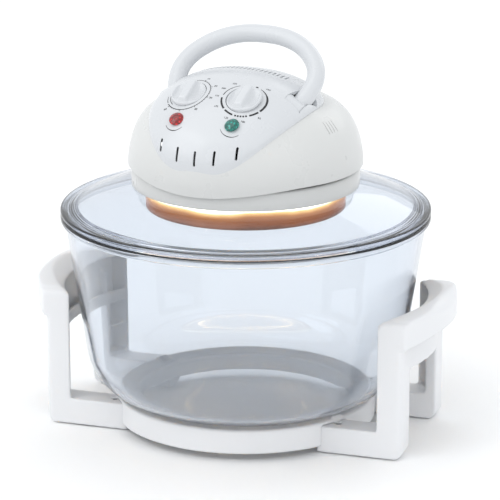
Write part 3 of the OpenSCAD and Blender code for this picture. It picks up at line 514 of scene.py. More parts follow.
def tube(name, path, radius, sides, up=Vector((0, 1, 0))):
    """A round bar along a path of points in metres, with flat ends."""
    bm = bmesh.new()
    rings = []
    count = len(path)
    for i, point in enumerate(path):
        along = (path[min(count - 1, i + 1)] - path[max(0, i - 1)]).normalized()
        side = along.cross(up).normalized()
        top = side.cross(along).normalized()
        rings.append([bm.verts.new(point + side * radius * math.cos(t) + top * radius * math.sin(t))
                      for t in (2 * math.pi * k / sides for k in range(sides))])
    for low, high in zip(rings, rings[1:]):
        for k in range(sides):
            m = (k + 1) % sides
            bm.faces.new([low[k], low[m], high[m], high[k]])
    bm.faces.new(rings[0][::-1])
    bm.faces.new(rings[-1])
    return mesh_from(bm, name)


# ---------------------------------------------------------------- Geometry Nodes helpers


class Tree:
    """A Geometry Nodes tree with named inputs, which ends in Realize Instances and Set Material."""

    def __init__(self, name, **inputs):
        self.group = bpy.data.node_groups.new(name, "GeometryNodeTree")
        kinds = {int: "NodeSocketInt", float: "NodeSocketFloat"}
        for key, value in inputs.items():
            socket = self.group.interface.new_socket(key.replace("_", " "), in_out="INPUT",
                                                     socket_type=kinds[type(value)])
            socket.default_value = value
        self.group.interface.new_socket("Geometry", in_out="OUTPUT", socket_type="NodeSocketGeometry")
        self.inputs = self.group.nodes.new("NodeGroupInput")

    def size(self, name):
        return self.inputs.outputs[name.replace("_", " ")]

    def set(self, socket, value):
        if isinstance(value, bpy.types.NodeSocket):
            self.group.links.new(value, socket)
        elif value is not None:
            socket.default_value = value

    def add(self, kind, options=None, **values):
        node = self.group.nodes.new(kind)
        for key, value in (options or {}).items():
            setattr(node, key, value)
        for key, value in values.items():
            self.set(node.inputs[key.replace("_", " ")], value)
        return node

    def maths(self, operation, *values):
        node = self.group.nodes.new("ShaderNodeMath")
        node.operation = operation
        for socket, value in zip(node.inputs, values):
            self.set(socket, value)
        return node.outputs[0]

    def vector(self, x, y, z):
        return self.add("ShaderNodeCombineXYZ", X=x, Y=y, Z=z).outputs[0]

    def finish(self, geometry, finish):
        real = self.add("GeometryNodeRealizeInstances", Geometry=geometry)
        painted = self.add("GeometryNodeSetMaterial", Geometry=real.outputs[0])
        painted.inputs["Material"].default_value = FINISHES[finish]
        out = self.group.nodes.new("NodeGroupOutput")
        self.group.links.new(painted.outputs[0], out.inputs[0])
        return self


def grow(tree, **values):
    """The plain mesh that the tree makes with these input values."""
    obj = bpy.data.objects.new("growing", bpy.data.meshes.new("growing"))
    bpy.context.scene.collection.objects.link(obj)
    modifier = obj.modifiers.new("tree", "NODES")
    modifier.node_group = tree.group
    by_name = {s.name: s.identifier for s in tree.group.interface.items_tree if s.in_out == "INPUT"}
    for key, value in values.items():
        modifier[by_name[key.replace("_", " ")]] = value
    bpy.context.view_layer.update()
    mesh = bpy.data.meshes.new_from_object(obj.evaluated_get(bpy.context.evaluated_depsgraph_get()))
    obj.modifiers.remove(modifier)
    bpy.data.objects.remove(obj)
    return mesh


def ring_points(tree, count, radius, height, first=0.0):
    """Instance points round the centre line, each turned to face outwards."""
    line = tree.add("GeometryNodeMeshLine", Count=count)
    turn = tree.maths("ADD", tree.maths("DIVIDE", tree.maths(
        "MULTIPLY", tree.add("GeometryNodeInputIndex").outputs[0], 2 * math.pi), count), first)
    place = tree.vector(tree.maths("MULTIPLY", radius, tree.maths("COSINE", turn)),
                        tree.maths("MULTIPLY", radius, tree.maths("SINE", turn)), height)
    moved = tree.add("GeometryNodeSetPosition", Geometry=line.outputs[0], Position=place)
    return moved.outputs[0], tree.vector(0.0, 0.0, turn)


def guard_tree():
    """Rings of wire on radial spokes."""
    tree = Tree("wire guard", Rings=6, Spokes=6, Inner=0.012, Outer=0.0826, Wire=0.0011, Height=0.202,
                Reach=0.0872)
    wire = tree.add("GeometryNodeCurvePrimitiveCircle", Resolution=10, Radius=tree.size("Wire"))
    step = tree.maths("DIVIDE", tree.maths("SUBTRACT", tree.size("Outer"), tree.size("Inner")),
                      tree.maths("SUBTRACT", tree.size("Rings"), 1.0))
    line = tree.add("GeometryNodeMeshLine", Count=tree.size("Rings"))
    index = tree.add("GeometryNodeInputIndex").outputs[0]
    radius = tree.maths("ADD", tree.size("Inner"), tree.maths("MULTIPLY", index, step))
    lifted = tree.add("GeometryNodeSetPosition", Geometry=line.outputs[0],
                      Position=tree.vector(0.0, 0.0, tree.size("Height")))
    hoop = tree.add("GeometryNodeCurvePrimitiveCircle", Resolution=120, Radius=1.0)
    hoops = tree.add("GeometryNodeInstanceOnPoints", Points=lifted.outputs[0], Instance=hoop.outputs[0],
                     Scale=tree.vector(radius, radius, 1.0))
    real = tree.add("GeometryNodeRealizeInstances", Geometry=hoops.outputs[0])
    rings = tree.add("GeometryNodeCurveToMesh", Curve=real.outputs[0], Profile_Curve=wire.outputs[0])
    points, turn = ring_points(tree, tree.size("Spokes"), 0.0, tree.maths(
        "ADD", tree.size("Height"), tree.maths("MULTIPLY", tree.size("Wire"), 1.6)))
    bar = tree.add("GeometryNodeCurvePrimitiveLine", Start=(0.010, 0, 0),
                   End=tree.vector(tree.size("Reach"), 0.0, 0.0))
    spoke = tree.add("GeometryNodeCurveToMesh", Curve=bar.outputs[0], Profile_Curve=wire.outputs[0])
    spoke.inputs["Fill Caps"].default_value = True
    spokes = tree.add("GeometryNodeInstanceOnPoints", Points=points, Instance=spoke.outputs[0], Rotation=turn)
    both = tree.group.nodes.new("GeometryNodeJoinGeometry")
    tree.group.links.new(rings.outputs[0], both.inputs[0])
    tree.group.links.new(spokes.outputs[0], both.inputs[0])
    return tree.finish(both.outputs[0], "wire steel")


def filament_tree():
    """A fine coil that follows half of the lamp's ring."""
    tree = Tree("filament", Turns=70, Ring=0.064, Coil=0.0015, Wire=0.00028, Height=0.2105, Start=0.16,
                Sweep=2.82)
    count = tree.maths("MULTIPLY", tree.size("Turns"), 10.0)
    line = tree.add("GeometryNodeMeshLine", Count=count)
    share = tree.maths("DIVIDE", tree.add("GeometryNodeInputIndex").outputs[0], count)
    turn = tree.maths("ADD", tree.size("Start"), tree.maths("MULTIPLY", share, tree.size("Sweep")))
    twist = tree.maths("MULTIPLY", share, tree.maths("MULTIPLY", tree.size("Turns"), 2 * math.pi))
    radius = tree.maths("ADD", tree.size("Ring"), tree.maths(
        "MULTIPLY", tree.size("Coil"), tree.maths("COSINE", twist)))
    place = tree.vector(tree.maths("MULTIPLY", radius, tree.maths("COSINE", turn)),
                        tree.maths("MULTIPLY", radius, tree.maths("SINE", turn)),
                        tree.maths("ADD", tree.size("Height"), tree.maths(
                            "MULTIPLY", tree.size("Coil"), tree.maths("SINE", twist))))
    moved = tree.add("GeometryNodeSetPosition", Geometry=line.outputs[0], Position=place)
    curve = tree.add("GeometryNodeMeshToCurve", Mesh=moved.outputs[0])
    wire = tree.add("GeometryNodeCurvePrimitiveCircle", Resolution=4, Radius=tree.size("Wire"))
    mesh = tree.add("GeometryNodeCurveToMesh", Curve=curve.outputs[0], Profile_Curve=wire.outputs[0])
    mesh.inputs["Fill Caps"].default_value = True
    return tree.finish(mesh.outputs[0], "hot filament")


def tick_tree():
    """Short printed strokes round part of a circle, flat on the local ground."""
    tree = Tree("dial ticks", Count=11, Radius=0.02, Start=0.0, Sweep=3.0, Length=0.0012, Width=0.0004)
    line = tree.add("GeometryNodeMeshLine", Count=tree.size("Count"))
    share = tree.maths("DIVIDE", tree.add("GeometryNodeInputIndex").outputs[0],
                       tree.maths("MAXIMUM", 1.0, tree.maths("SUBTRACT", tree.size("Count"), 1.0)))
    turn = tree.maths("ADD", tree.size("Start"), tree.maths("MULTIPLY", share, tree.size("Sweep")))
    middle = tree.maths("ADD", tree.size("Radius"), tree.maths("MULTIPLY", tree.size("Length"), 0.5))
    moved = tree.add("GeometryNodeSetPosition", Geometry=line.outputs[0], Position=tree.vector(
        tree.maths("MULTIPLY", middle, tree.maths("COSINE", turn)),
        tree.maths("MULTIPLY", middle, tree.maths("SINE", turn)), 0.0))
    stroke = tree.add("GeometryNodeMeshGrid", Size_X=tree.size("Length"), Size_Y=tree.size("Width"),
                      Vertices_X=3, Vertices_Y=3)
    strokes = tree.add("GeometryNodeInstanceOnPoints", Points=moved.outputs[0], Instance=stroke.outputs[0],
                       Rotation=tree.vector(0.0, 0.0, turn))
    return tree.finish(strokes.outputs[0], "print ink")


# ---------------------------------------------------------------- the head's shapes and sizes

HOUSE_R, HOUSE_EDGE, SHOULDER_TOP, CHIN_DROP = 104.3, 240.7, 300.0, 8.2
COVER_W, COVER_FRONT, COVER_BACK, COVER_Y, COVER_POWER = 72.0, 93.0, 62.0, -10.0, 2.4
CROWN_TOP, SHELL, COVER_PROUD = 325.0, 2.6, 1.5
DIAL_X, DIAL_Y, DIAL_TILT = 26.5, 59.0, math.radians(28)
LENS_Y, LENS_TILT = 82.7, math.radians(41)
PIVOT_Y, PIVOT_Z = -28.0, 292.0
HANDLE_LEAN, HANDLE_LEN, HANDLE_HALF, HANDLE_FOOT, GRIP = math.radians(50), 87.0, 74.0, 60.0, 8.0
HUB_R, HUB_OUTER_R, HUB_WIDE, HUB_STRAIGHT = 21.5, 11.5, 16.0, 14.0
# Each cooling slot in front: its x, the height of its lower end and its length
SLOTS = [(-36.0, 267.0, 11.0), (-17.5, 261.5, 12.5), (0.0, 259.5, 13.0), (17.5, 261.5, 12.5),
         (36.0, 267.0, 11.0)]


def shoulder_height(r, inset=0.0):
    share = max(0.0, 1 - min(1.0, r / (HOUSE_R - inset)) ** 6)
    return HOUSE_EDGE + (SHOULDER_TOP - HOUSE_EDGE - inset) * share ** 0.54


def cover_point(turn, inset=0.0):
    c, s = math.cos(turn), math.sin(turn)
    reach = (COVER_FRONT if s < 0 else COVER_BACK) - inset
    return (math.copysign(abs(c) ** (2 / COVER_POWER), c) * (COVER_W - inset),
            COVER_Y + math.copysign(abs(s) ** (2 / COVER_POWER), s) * reach)


def cover_height(x, y, inset=0.0):
    """Height of the control cover's skin over a point, as the CAD source has it."""
    reach = (COVER_FRONT if y < COVER_Y else COVER_BACK) - inset
    across, along = abs(x / (COVER_W - inset)), abs((y - COVER_Y) / reach)
    share = max(0.001, (across ** COVER_POWER + along ** COVER_POWER) ** (1 / COVER_POWER))
    edge = math.hypot(x / share, COVER_Y + (y - COVER_Y) / share)
    low = shoulder_height(edge - COVER_PROUD) + COVER_PROUD * 0.6
    return low + (CROWN_TOP - inset - low) * max(0.0, 1 - min(1.0, share) ** 2.2) ** 0.67


def slot_share(x, y):
    """How far a point of the cover lies in the part where its wall is thinned behind the front slots."""
    along = min(1.0, max(0.0, (46 - abs(x)) / 6))
    return along * min(1.0, max(0.0, (-76 - y) / 8))


def cover_skin(inner=False, around=180, rings=40):
    """Rings of points on the cover, from its crown to its edge. The inner skin lies a wall further in."""
    levels = [math.sin(math.pi / 2 * j / rings) for j in range(1, rings + 1)]
    skin = []
    for level in levels[:-6] if inner else levels:
        ring = []
        for k in range(around):
            turn = 2 * math.pi * k / around
            x, y = cover_point(turn)
            height = cover_height(x * level, COVER_Y + (y - COVER_Y) * level)
            if inner:
                wall = SHELL * (1 - 0.8 * slot_share(x * level, COVER_Y + (y - COVER_Y) * level))
                x, y = cover_point(turn, wall)
                height -= wall
            ring.append(Vector((x * level, COVER_Y + (y - COVER_Y) * level, height)) * MM)
        skin.append(ring)
    return skin


def edge_ring(inset, lift=0.15, around=180):
    """Points round the cover's lower edge, where it stands on the shoulder."""
    found = []
    for k in range(around):
        x, y = cover_point(2 * math.pi * k / around, inset)
        found.append(Vector((x, y, shoulder_height(math.hypot(x, y)) + lift)) * MM)
    return found


def skin_faces(bm, crown, skin):
    top = bm.verts.new(crown)
    rings = [[bm.verts.new(p) for p in ring] for ring in skin]
    count = len(skin[0])
    for k in range(count):
        bm.faces.new([top, rings[0][k], rings[0][(k + 1) % count]])
    for low, high in zip(rings, rings[1:]):
        for k in range(count):
            m = (k + 1) % count
            bm.faces.new([low[k], high[k], high[m], low[m]])
    return rings[-1]


def cover_surface():
    """The cover's outer skin alone, for laying prints on it."""
    bm = bmesh.new()
    skin_faces(bm, Vector((0, COVER_Y, CROWN_TOP)) * MM, cover_skin())
    bmesh.ops.recalc_face_normals(bm, faces=bm.faces)
    found = BVHTree.FromBMesh(bm)
    bm.free()
    return found


def dial_place(side):
    x, y = side * DIAL_X, -DIAL_Y
    return Matrix.Translation(Vector((x, y, cover_height(x, y))) * MM) @ Matrix.Rotation(DIAL_TILT, 4, "X")


def leg_reach(v):
    """Distance of the handle's leg from the middle, at v from its pivot: straight at first, then wider."""
    share = min(1.0, max(0.0, v - HUB_STRAIGHT) / HANDLE_LEN * 1.8)
    return HANDLE_FOOT + (HANDLE_HALF - HANDLE_FOOT) * math.sin(math.pi / 2 * share)


def hub(side, grow=0.0):
    """The round hub at the foot of a handle's leg: wide inside, narrow outside."""
    half = HUB_WIDE / 2 + grow
    outline = [(0, -half), (HUB_R + grow, -half, 1.0), (HUB_OUTER_R + grow, half, 1.5), (0, half)]
    mesh = lathe("hub", [tuple(p) for p in round_corners(outline, 5)], 120, closed=False)
    mesh.transform(Matrix.Translation(Vector((side * HANDLE_FOOT, PIVOT_Y, PIVOT_Z)) * MM) @ Matrix.Rotation(
        side * math.pi / 2, 4, "Y"))
    return mesh


def leg_sweep(side, gap=0.8, rows=14, turns=20):
    """The space that a leg of the handle sweeps above its hub, from upright to its rest."""
    bm = bmesh.new()
    grid = []
    for i in range(rows + 1):
        v = HUB_OUTER_R - 1 + 52 * i / rows
        spread = math.asin(min(1.0, (GRIP + gap) / v))
        row = []
        for k in range(turns + 1):
            t = -spread + (HANDLE_LEAN + 2 * spread) * k / turns
            y, z = PIVOT_Y + v * math.sin(t), PIVOT_Z + v * math.cos(t)
            row.append([bm.verts.new(Vector((side * (leg_reach(v) + d * (GRIP + gap)), y, z)) * MM)
                        for d in (-1, 1)])
        grid.append(row)
    for low, high in zip(grid, grid[1:]):
        for k in range(turns):
            for d in (0, 1):
                bm.faces.new([low[k][d], low[k + 1][d], high[k + 1][d], high[k][d]])
        for k in (0, turns):
            bm.faces.new([low[k][0], high[k][0], high[k][1], low[k][1]])
    for row in (grid[0], grid[-1]):
        for k in range(turns):
            bm.faces.new([row[k][0], row[k + 1][0], row[k + 1][1], row[k][1]])
    return mesh_from(bm, "sweep")


def lens_place(side):
    x, y = side * DIAL_X, -LENS_Y
    return Matrix.Translation(Vector((x, y, cover_height(x, y))) * MM) @ Matrix.Rotation(LENS_TILT, 4, "X")


# ---------------------------------------------------------------- operators


class BuildStage(bpy.types.Operator):
    """Adds the floor, the soft studio lights and the camera"""

    bl_idname = "oven.stage"
    bl_label = "Stage"

    def execute(self, context):
        scene, settings = context.scene, context.scene.oven_stage
        scene.view_settings.view_transform = "Standard"
        scene.view_settings.look = "None"
        make_finishes(scene.oven_finish)
        size = 12.0
        bm = bmesh.new()
        bmesh.ops.create_grid(bm, x_segments=24, y_segments=24, size=size)
        floor = bpy.data.objects.new("floor", mesh_from(bm, "floor"))
        scene.collection.objects.link(floor)
        ground = Finish("floor paper", settings.floor_colour, 0.75)
        ground.vary_colour(ground.noise(3.0), 0.995, 1.002)
        paint(floor, "floor paper")
        for face in floor.data.polygons:
            if face.normal.z < 0:
                face.flip()

        world = bpy.data.worlds.new("studio")
        world.use_nodes = True
        sky = world.node_tree.nodes["Background"]
        sky.inputs["Color"].default_value = (*settings.sky_colour, 1)
        sky.inputs["Strength"].default_value = settings.sky_strength
        scene.world = world

        sun = bpy.data.lights.new("overhead", "SUN")
        sun.energy = 0.42
        sun.angle = math.radians(50)
        sun.color = (1.0, 0.99, 0.97)
        self.light(scene, sun, "overhead", (-0.8, -0.9, 2.4), (0, 0, 0.1))
        for name, place, width, height, power in (
                ("key softbox", (-1.3, -1.5, 1.5), 1.4, 1.2, 6.0),
                ("fill softbox", (1.7, -0.9, 1.0), 1.2, 1.4, 2.0),
                ("back softbox", (0.4, 1.9, 1.3), 1.6, 1.0, 3.0)):
            lamp = bpy.data.lights.new(name, "AREA")
            lamp.shape, lamp.size, lamp.size_y, lamp.energy = "RECTANGLE", width, height, power
            self.light(scene, lamp, name, place, (0, 0, 0.2))

        self.camera(scene, settings)
        return {"FINISHED"}

    @staticmethod
    def light(scene, lamp, name, place, target):
        obj = bpy.data.objects.new(name, lamp)
        obj.location = place
        obj.rotation_euler = (Vector(place) - Vector(target)).to_track_quat("Z", "Y").to_euler()
        scene.collection.objects.link(obj)

    @staticmethod
    def camera(scene, settings):
        """The photograph's view, with the middle of the bowl a little below and left of the picture's."""
        data = bpy.data.cameras.new("camera")
        data.lens, data.sensor_width, data.sensor_fit = settings.lens, 36.0, "HORIZONTAL"
        data.clip_start, data.clip_end = 0.05, 60.0
        a, e = settings.azimuth, settings.elevation
        back = Vector((math.sin(a) * math.cos(e), -math.cos(a) * math.cos(e), math.sin(e)))
        right = Vector((math.cos(a), math.sin(a), 0))
        up = back.cross(right)
        target = Vector((0, 0, 0.120))
        aim_right, aim_up = 4.2 / 2950, 40.7 / 2950
        forward = (-back + right * aim_right + up * aim_up).normalized()
        camera = bpy.data.objects.new("camera", data)
        camera.location = target + back * settings.distance
        camera.rotation_euler = forward.to_track_quat("-Z", "Y").to_euler()
        scene.collection.objects.link(camera)
        scene.camera = camera


class BuildStand(bpy.types.Operator):
    """Dresses the base ring, the two side frames, their screws and the rubber feet"""

    bl_idname = "oven.stand"
    bl_label = "Stand"

    TURN, SPAN, INNER, LEG_INNER, DEEP, WALL = math.radians(7), 70.0, 165.0, 142.0, 7.0, 2.6
    TIE_LOW, ROOF_LOW, TIE_SEAT, POST = 78.0, 122.0, 0.4, 12.0

    def channel(self, side):
        """The back wall and floor of the channel inside a side frame's bar, which follow its inner arc."""
        rise = self.INNER - self.LEG_INNER
        arc = (self.SPAN ** 2 + rise ** 2) / (2 * rise)
        middle = self.INNER - arc
        half, steps = math.degrees(math.asin((self.SPAN - self.POST) / arc)), 32
        place = Matrix.Rotation(self.TURN + (0 if side > 0 else math.pi), 4, "Z")
        low = self.TIE_LOW + self.TIE_SEAT
        walls = []
        for near, far, high in ((self.DEEP, self.DEEP + self.WALL, self.ROOF_LOW),
                                (0.5, self.DEEP + 1, self.TIE_LOW + self.WALL)):
            outline = arc_points(middle, 0, arc + near, -half, half, steps)
            outline += arc_points(middle, 0, arc + far, half, -half, steps)
            walls.append(prism([(x * MM, y * MM) for x, y in outline], low * MM, high * MM, place))
        return joined(*walls)

    def execute(self, context):
        for side, node in ((-1, "left_side_frame"), (1, "right_side_frame")):
            mesh = joined(solid_copy(node), self.channel(side))
            add_piece(node.replace("_", "-") + "-moulding", softened(mesh, 1.3, 7), "stand plastic", "stand",
                      "white_plastic", node, corner=180)
        add_piece("stand-ring-moulding", softened(solid_copy("stand_ring"), 1.2, 3), "stand plastic", "stand",
                  "white_plastic", "stand_ring", corner=180)
        for node, finish in (("frame_screws", "screw steel"), ("rubber_feet", "foot rubber")):
            paint(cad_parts[node], finish)
        return {"FINISHED"}


class BuildBowl(bpy.types.Operator):
    """Makes the glass bowl: a flared wall, a round bottom corner and a beaded rim"""

    bl_idname = "oven.bowl"
    bl_label = "Bowl"

    CONE_R, FLARE, BASE, TOP, CORNER, WALL, BEAD = 132.3, 0.1525, 27.5, 195.3, 48.0, 4.0, 6.0
    RIM_R = 165.0

    def wall(self, z, inset=0.0):
        return self.CONE_R + self.FLARE * z - inset * math.hypot(1, self.FLARE)

    def execute(self, context):
        corner_z = self.BASE + self.CORNER
        corner_r = self.wall(corner_z) - self.CORNER * math.hypot(1, self.FLARE)
        lean = math.degrees(math.atan(self.FLARE))
        bead = self.TOP - self.BEAD
        inner = self.CORNER - self.WALL
        outline = [(0, self.BASE), (corner_r * 0.5, self.BASE)]
        outline += arc_points(corner_r, corner_z, self.CORNER, -90, -lean, 28)
        rim = round_corners([
            (self.wall(150), 150), (self.wall(bead), bead, 2.5), (self.RIM_R, bead + 0.4, 2.2),
            (self.RIM_R, self.TOP, 2.2), (self.wall(self.TOP, self.WALL), self.TOP, 1.4),
            (self.wall(150, self.WALL), 150)], 8)
        outline += [tuple(p) for p in rim]
        outline += arc_points(corner_r, corner_z, inner, -lean, -90, 28)
        outline += [(corner_r * 0.5, self.BASE + self.WALL), (0, self.BASE + self.WALL)]
        mesh = lathe("bowl", outline, 256, closed=False)
        add_piece("glass-bowl-blown", mesh, "bowl glass", "bowl", "clear_glass", "glass_bowl", corner=60)
        return {"FINISHED"}


class BuildGlassLid(bpy.types.Operator):
    """Makes the domed glass lid, its flat flange and the skirt that locates it in the bowl"""

    bl_idname = "oven.glass_lid"
    bl_label = "Glass lid"

    DOME_R, DOME_Z, GLASS, HOLE, FLANGE = 370.0, -134.43, 4.0, 91.0, 157.0

    def execute(self, context):
        low, top, rim = 195.6, 200.6, 165.0
        over = [(r, self.DOME_Z + math.sqrt(self.DOME_R ** 2 - r * r))
                for r in (self.HOLE + (self.FLANGE - self.HOLE) * k / 20 for k in range(21))]
        under = [(r, self.DOME_Z + math.sqrt((self.DOME_R - self.GLASS) ** 2 - r * r))
                 for r in (149 + (self.HOLE - 149) * k / 20 for k in range(21))]
        outline = [(*over[0], 0.8), *over[1:-1], (*over[-1], 6.0), (rim, top, 2.2), (rim, low, 2.2),
                   (155.9, low, 0.8), (155.9, low - 5, 1.6), (151.9, low - 5, 1.6), (151.9, low, 0.8),
                   (149, low, 1.5), (*under[0], 1.5), *under[1:-1], (*under[-1], 0.8)]
        mesh = lathe("lid", [tuple(p) for p in round_corners(outline, 6)], 256)
        add_piece("glass-lid-pressed", mesh, "lid glass", "lid", "clear_glass", "glass_lid", corner=60)
        return {"FINISHED"}


class BuildHeater(bpy.types.Operator):
    """Dresses the steel band, reflector, lamp, wire guard and hot-air fan under the lid"""

    bl_idname = "oven.heater"
    bl_label = "Heater"

    def execute(self, context):
        sizes = context.scene.oven_heater
        # The heater shroud gets the band with the lamp's light painted on as emission
        for node, finish in (("heater_shroud", "band with painted glow"), ("reflector", "bright alloy"),
                             ("insulation_board", "insulation board"), ("guard_screws", "screw steel"),
                             ("halogen_tube", "quartz"), ("tube_holders", "ceramic"),
                             ("convection_fan", "bright alloy")):
            paint(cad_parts[node], finish)
        guard = grow(guard_tree(), Rings=sizes.guard_rings, Spokes=sizes.guard_spokes)
        add_piece("wire-guard-rings", guard, "wire steel", "lid", "sheet_steel", "wire_guard", corner=60)
        tree = filament_tree()
        halves = [grow(tree, Turns=sizes.coil_turns, Ring=sizes.tube_ring, Coil=sizes.coil_radius,
                       Start=start) for start in (0.16, 0.16 + math.pi)]
        add_piece("lamp-filament", joined(*halves), "hot filament", "lid", "lamp_glass", corner=60)
        return {"FINISHED"}


class BuildHead(bpy.types.Operator):
    """Dresses the collar, the round housing with its shoulder grooves, and the parts inside"""

    bl_idname = "oven.head"
    bl_label = "Head"

    GROOVES, GROOVE_STEP, GROOVE_R, GROOVE_LONG = 4, 2.5, 88.5, 18.0
    GROOVE_WIDE, GROOVE_DEEP, GROOVE_FIRST, GROOVE_SLOPE = 0.8, 0.7, -14, math.radians(52)
    COLLAR_TOP, COLLAR_INNER, COLLAR_RISE = 232.0, 95.0, 3.2
    OPENING_INSET, NOTCH_HALF, NOTCH_FRONT, NOTCH_BACK, NOTCH_DROP = 3.5, 5, -106, -70, 2
    CHIN_TURN, EDGE_SPARE, EDGE_FLOOR = 60, 9, 200

    def grooves(self):
        """Slanted cuts down each shoulder."""
        half, wide = self.GROOVE_LONG / 2 * MM, self.GROOVE_WIDE / 2 * MM
        outline = [(-half, -wide), (half, -wide), (half, wide), (-half, wide)]
        spot = Matrix.Translation(Vector((self.GROOVE_R, 0, shoulder_height(self.GROOVE_R))) * MM)
        cutters = []
        for side in (-1, 1):
            for k in range(self.GROOVES):
                turn = math.radians(self.GROOVE_FIRST + self.GROOVE_STEP * k)
                round_head = Matrix.Rotation(turn if side > 0 else math.pi - turn, 4, "Z")
                place = round_head @ spot @ Matrix.Rotation(self.GROOVE_SLOPE, 4, "Y")
                cutters.append(prism(outline, -self.GROOVE_DEEP * MM, 4 * MM, place))
        return joined(*cutters)

    def raised_collar(self):
        """The collar, with its top drawn up into the housing so that only a thin line shows between them."""
        mesh = solid_copy("lid_collar", 0.05)
        for vert in mesh.vertices:
            if vert.co.z > self.COLLAR_TOP * MM and vert.co.xy.length > self.COLLAR_INNER * MM:
                vert.co.z += self.COLLAR_RISE * MM
        return mesh

    def profile(self, inset):
        """The housing's half outline from its lower edge up towards the middle."""
        low, reach = HOUSE_EDGE - CHIN_DROP - (5 if inset else 0), HOUSE_R - inset
        steps, first = 40, 40.0
        outline = [(reach, low)]
        for i in range(steps + 1):
            r = reach * math.cos(math.pi / 2 * i / steps) ** 0.36
            if r > first:
                outline.append((r, shoulder_height(r, inset)))
        return outline + [(first, shoulder_height(first, inset))]

    def edge_cutter(self):
        """What lies below the housing's lower edge, which dips to a chin in front, seen from the side."""
        shares = [i / 24 for i in range(25)]
        chin = [(-HOUSE_R * math.cos(math.radians(self.CHIN_TURN * t)),
                 HOUSE_EDGE - CHIN_DROP * (1 + math.cos(math.radians(180 * t))) / 2) for t in shares]
        reach = HOUSE_R + self.EDGE_SPARE
        outline = [(-reach, chin[0][1]), *chin, (reach, HOUSE_EDGE), (reach, self.EDGE_FLOOR),
                   (-reach, self.EDGE_FLOOR)]
        place = Matrix(((0, 0, 1, 0), (1, 0, 0, 0), (0, 1, 0, 0), (0, 0, 0, 1)))
        return prism([(y * MM, z * MM) for y, z in outline], -0.2, 0.2, place)

    def execute(self, context):
        shell = lathe("housing", self.profile(0) + self.profile(SHELL)[::-1], 240)
        plan = [cover_point(2 * math.pi * k / 96, self.OPENING_INSET) for k in range(96)]
        opening = prism([(x * MM, y * MM) for x, y in plan], 0.2, 0.4)
        half, front, back = self.NOTCH_HALF, self.NOTCH_FRONT, self.NOTCH_BACK
        corners = ((-half, front), (half, front), (half, back), (-half, back))
        notches = [prism([((x + dx) * MM, y * MM) for dx, y in corners], (low - self.NOTCH_DROP) * MM, 0.3)
                   for x, low, _ in SLOTS]
        mesh = carved(shell, ("DIFFERENCE", opening), ("DIFFERENCE", joined(*notches)),
                      ("DIFFERENCE", self.edge_cutter()), ("DIFFERENCE", self.grooves()))
        add_piece("housing-moulding", mesh, "housing plastic", "lid", "white_plastic", "head_housing",
                  corner=35)
        collar = with_modifiers(self.raised_collar(), ("BEVEL", {
            "width": 0.8 * MM, "segments": 2, "limit_method": "ANGLE", "angle_limit": math.radians(40),
            "use_clamp_overlap": False}))
        add_piece("collar-moulding", collar, "housing plastic", "lid", "white_plastic", "lid_collar",
                  corner=35)
        for node, finish in (("deck_plate", "band steel"), ("housing_screws", "screw steel"),
                             ("cooling_fan", "bright alloy"), ("motor_shaft", "screw steel"),
                             ("motor_core", "core iron"), ("motor_coil", "coil wire"),
                             ("motor_bracket", "band steel"), ("terminal_block", "ceramic"),
                             ("cord_gland", "black plastic"), ("safety_switch", "black plastic"),
                             ("switch_plunger", "plunger plastic"), ("handle_brackets", "unit plastic"),
                             ("handle_pins", "screw steel"), ("handle_cam", "unit plastic"),
                             ("timer_unit", "unit plastic"), ("thermostat_unit", "unit plastic"),
                             ("indicator_lamps", "lamp glass")):
            paint(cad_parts[node], finish)
        return {"FINISHED"}


class BuildCover(bpy.types.Operator):
    """Makes the moulded control cover with its slots, lamp and shaft holes, sunk dishes and top vents"""

    bl_idname = "oven.cover"
    bl_label = "Control cover"

    DISH_R, DISH_DEEP = 16.1, 1.7
    VENTS, VENT_STEP, VENT_Y, VENT_LONG = 21, 4.0, -5.0, 9.0

    def cutters(self):
        cuts = []
        for side in (-1, 1):
            cuts.append(prism(circle_outline(5.4 * MM), -10 * MM, 10 * MM, dial_place(side)))
            cuts.append(prism(circle_outline(5.1 * MM), -10 * MM, 10 * MM, lens_place(side)))
        front = Matrix.Rotation(math.pi / 2, 4, "X")
        for x, low, height in SLOTS:
            shape = [(x * MM + px, low * MM + pz) for px, pz in slot_outline(2.2 * MM, height * MM)]
            cuts.append(prism(shape, 84 * MM, 120 * MM, front))
        for k in range(self.VENTS):
            x = (k - (self.VENTS - 1) / 2) * self.VENT_STEP * MM
            outline = slot_outline(1.6 * MM, self.VENT_LONG * MM, 6)
            shape = [(x + px, self.VENT_Y * MM + py) for px, py in outline]
            cuts.append(prism(shape, 300 * MM, 340 * MM))
        return joined(*cuts)

    def execute(self, context):
        bm = bmesh.new()
        outer = skin_faces(bm, Vector((0, COVER_Y, CROWN_TOP)) * MM, [*cover_skin(), edge_ring(0.0)])
        inner = skin_faces(bm, Vector((0, COVER_Y, CROWN_TOP - SHELL)) * MM,
                           [*cover_skin(True), edge_ring(0.9)])
        for k in range(len(outer)):
            m = (k + 1) % len(outer)
            bm.faces.new([outer[k], inner[k], inner[m], outer[m]])
        round_plan = circle_outline(self.DISH_R * MM, 120)
        dishes = [prism(round_plan, -self.DISH_DEEP * MM, 10 * MM, dial_place(side)) for side in (-1, 1)]
        mesh = carved(mesh_from(bm, "cover"), ("DIFFERENCE", self.cutters()), ("DIFFERENCE", joined(*dishes)),
                      ("DIFFERENCE", joined(leg_sweep(-1, 0.6), leg_sweep(1, 0.6))),
                      ("DIFFERENCE", joined(hub(-1, 0.4), hub(1, 0.4))))
        add_piece("control-cover-moulding", mesh, "panel plastic", "lid", "panel_plastic", "control_cover",
                  corner=32)
        return {"FINISHED"}


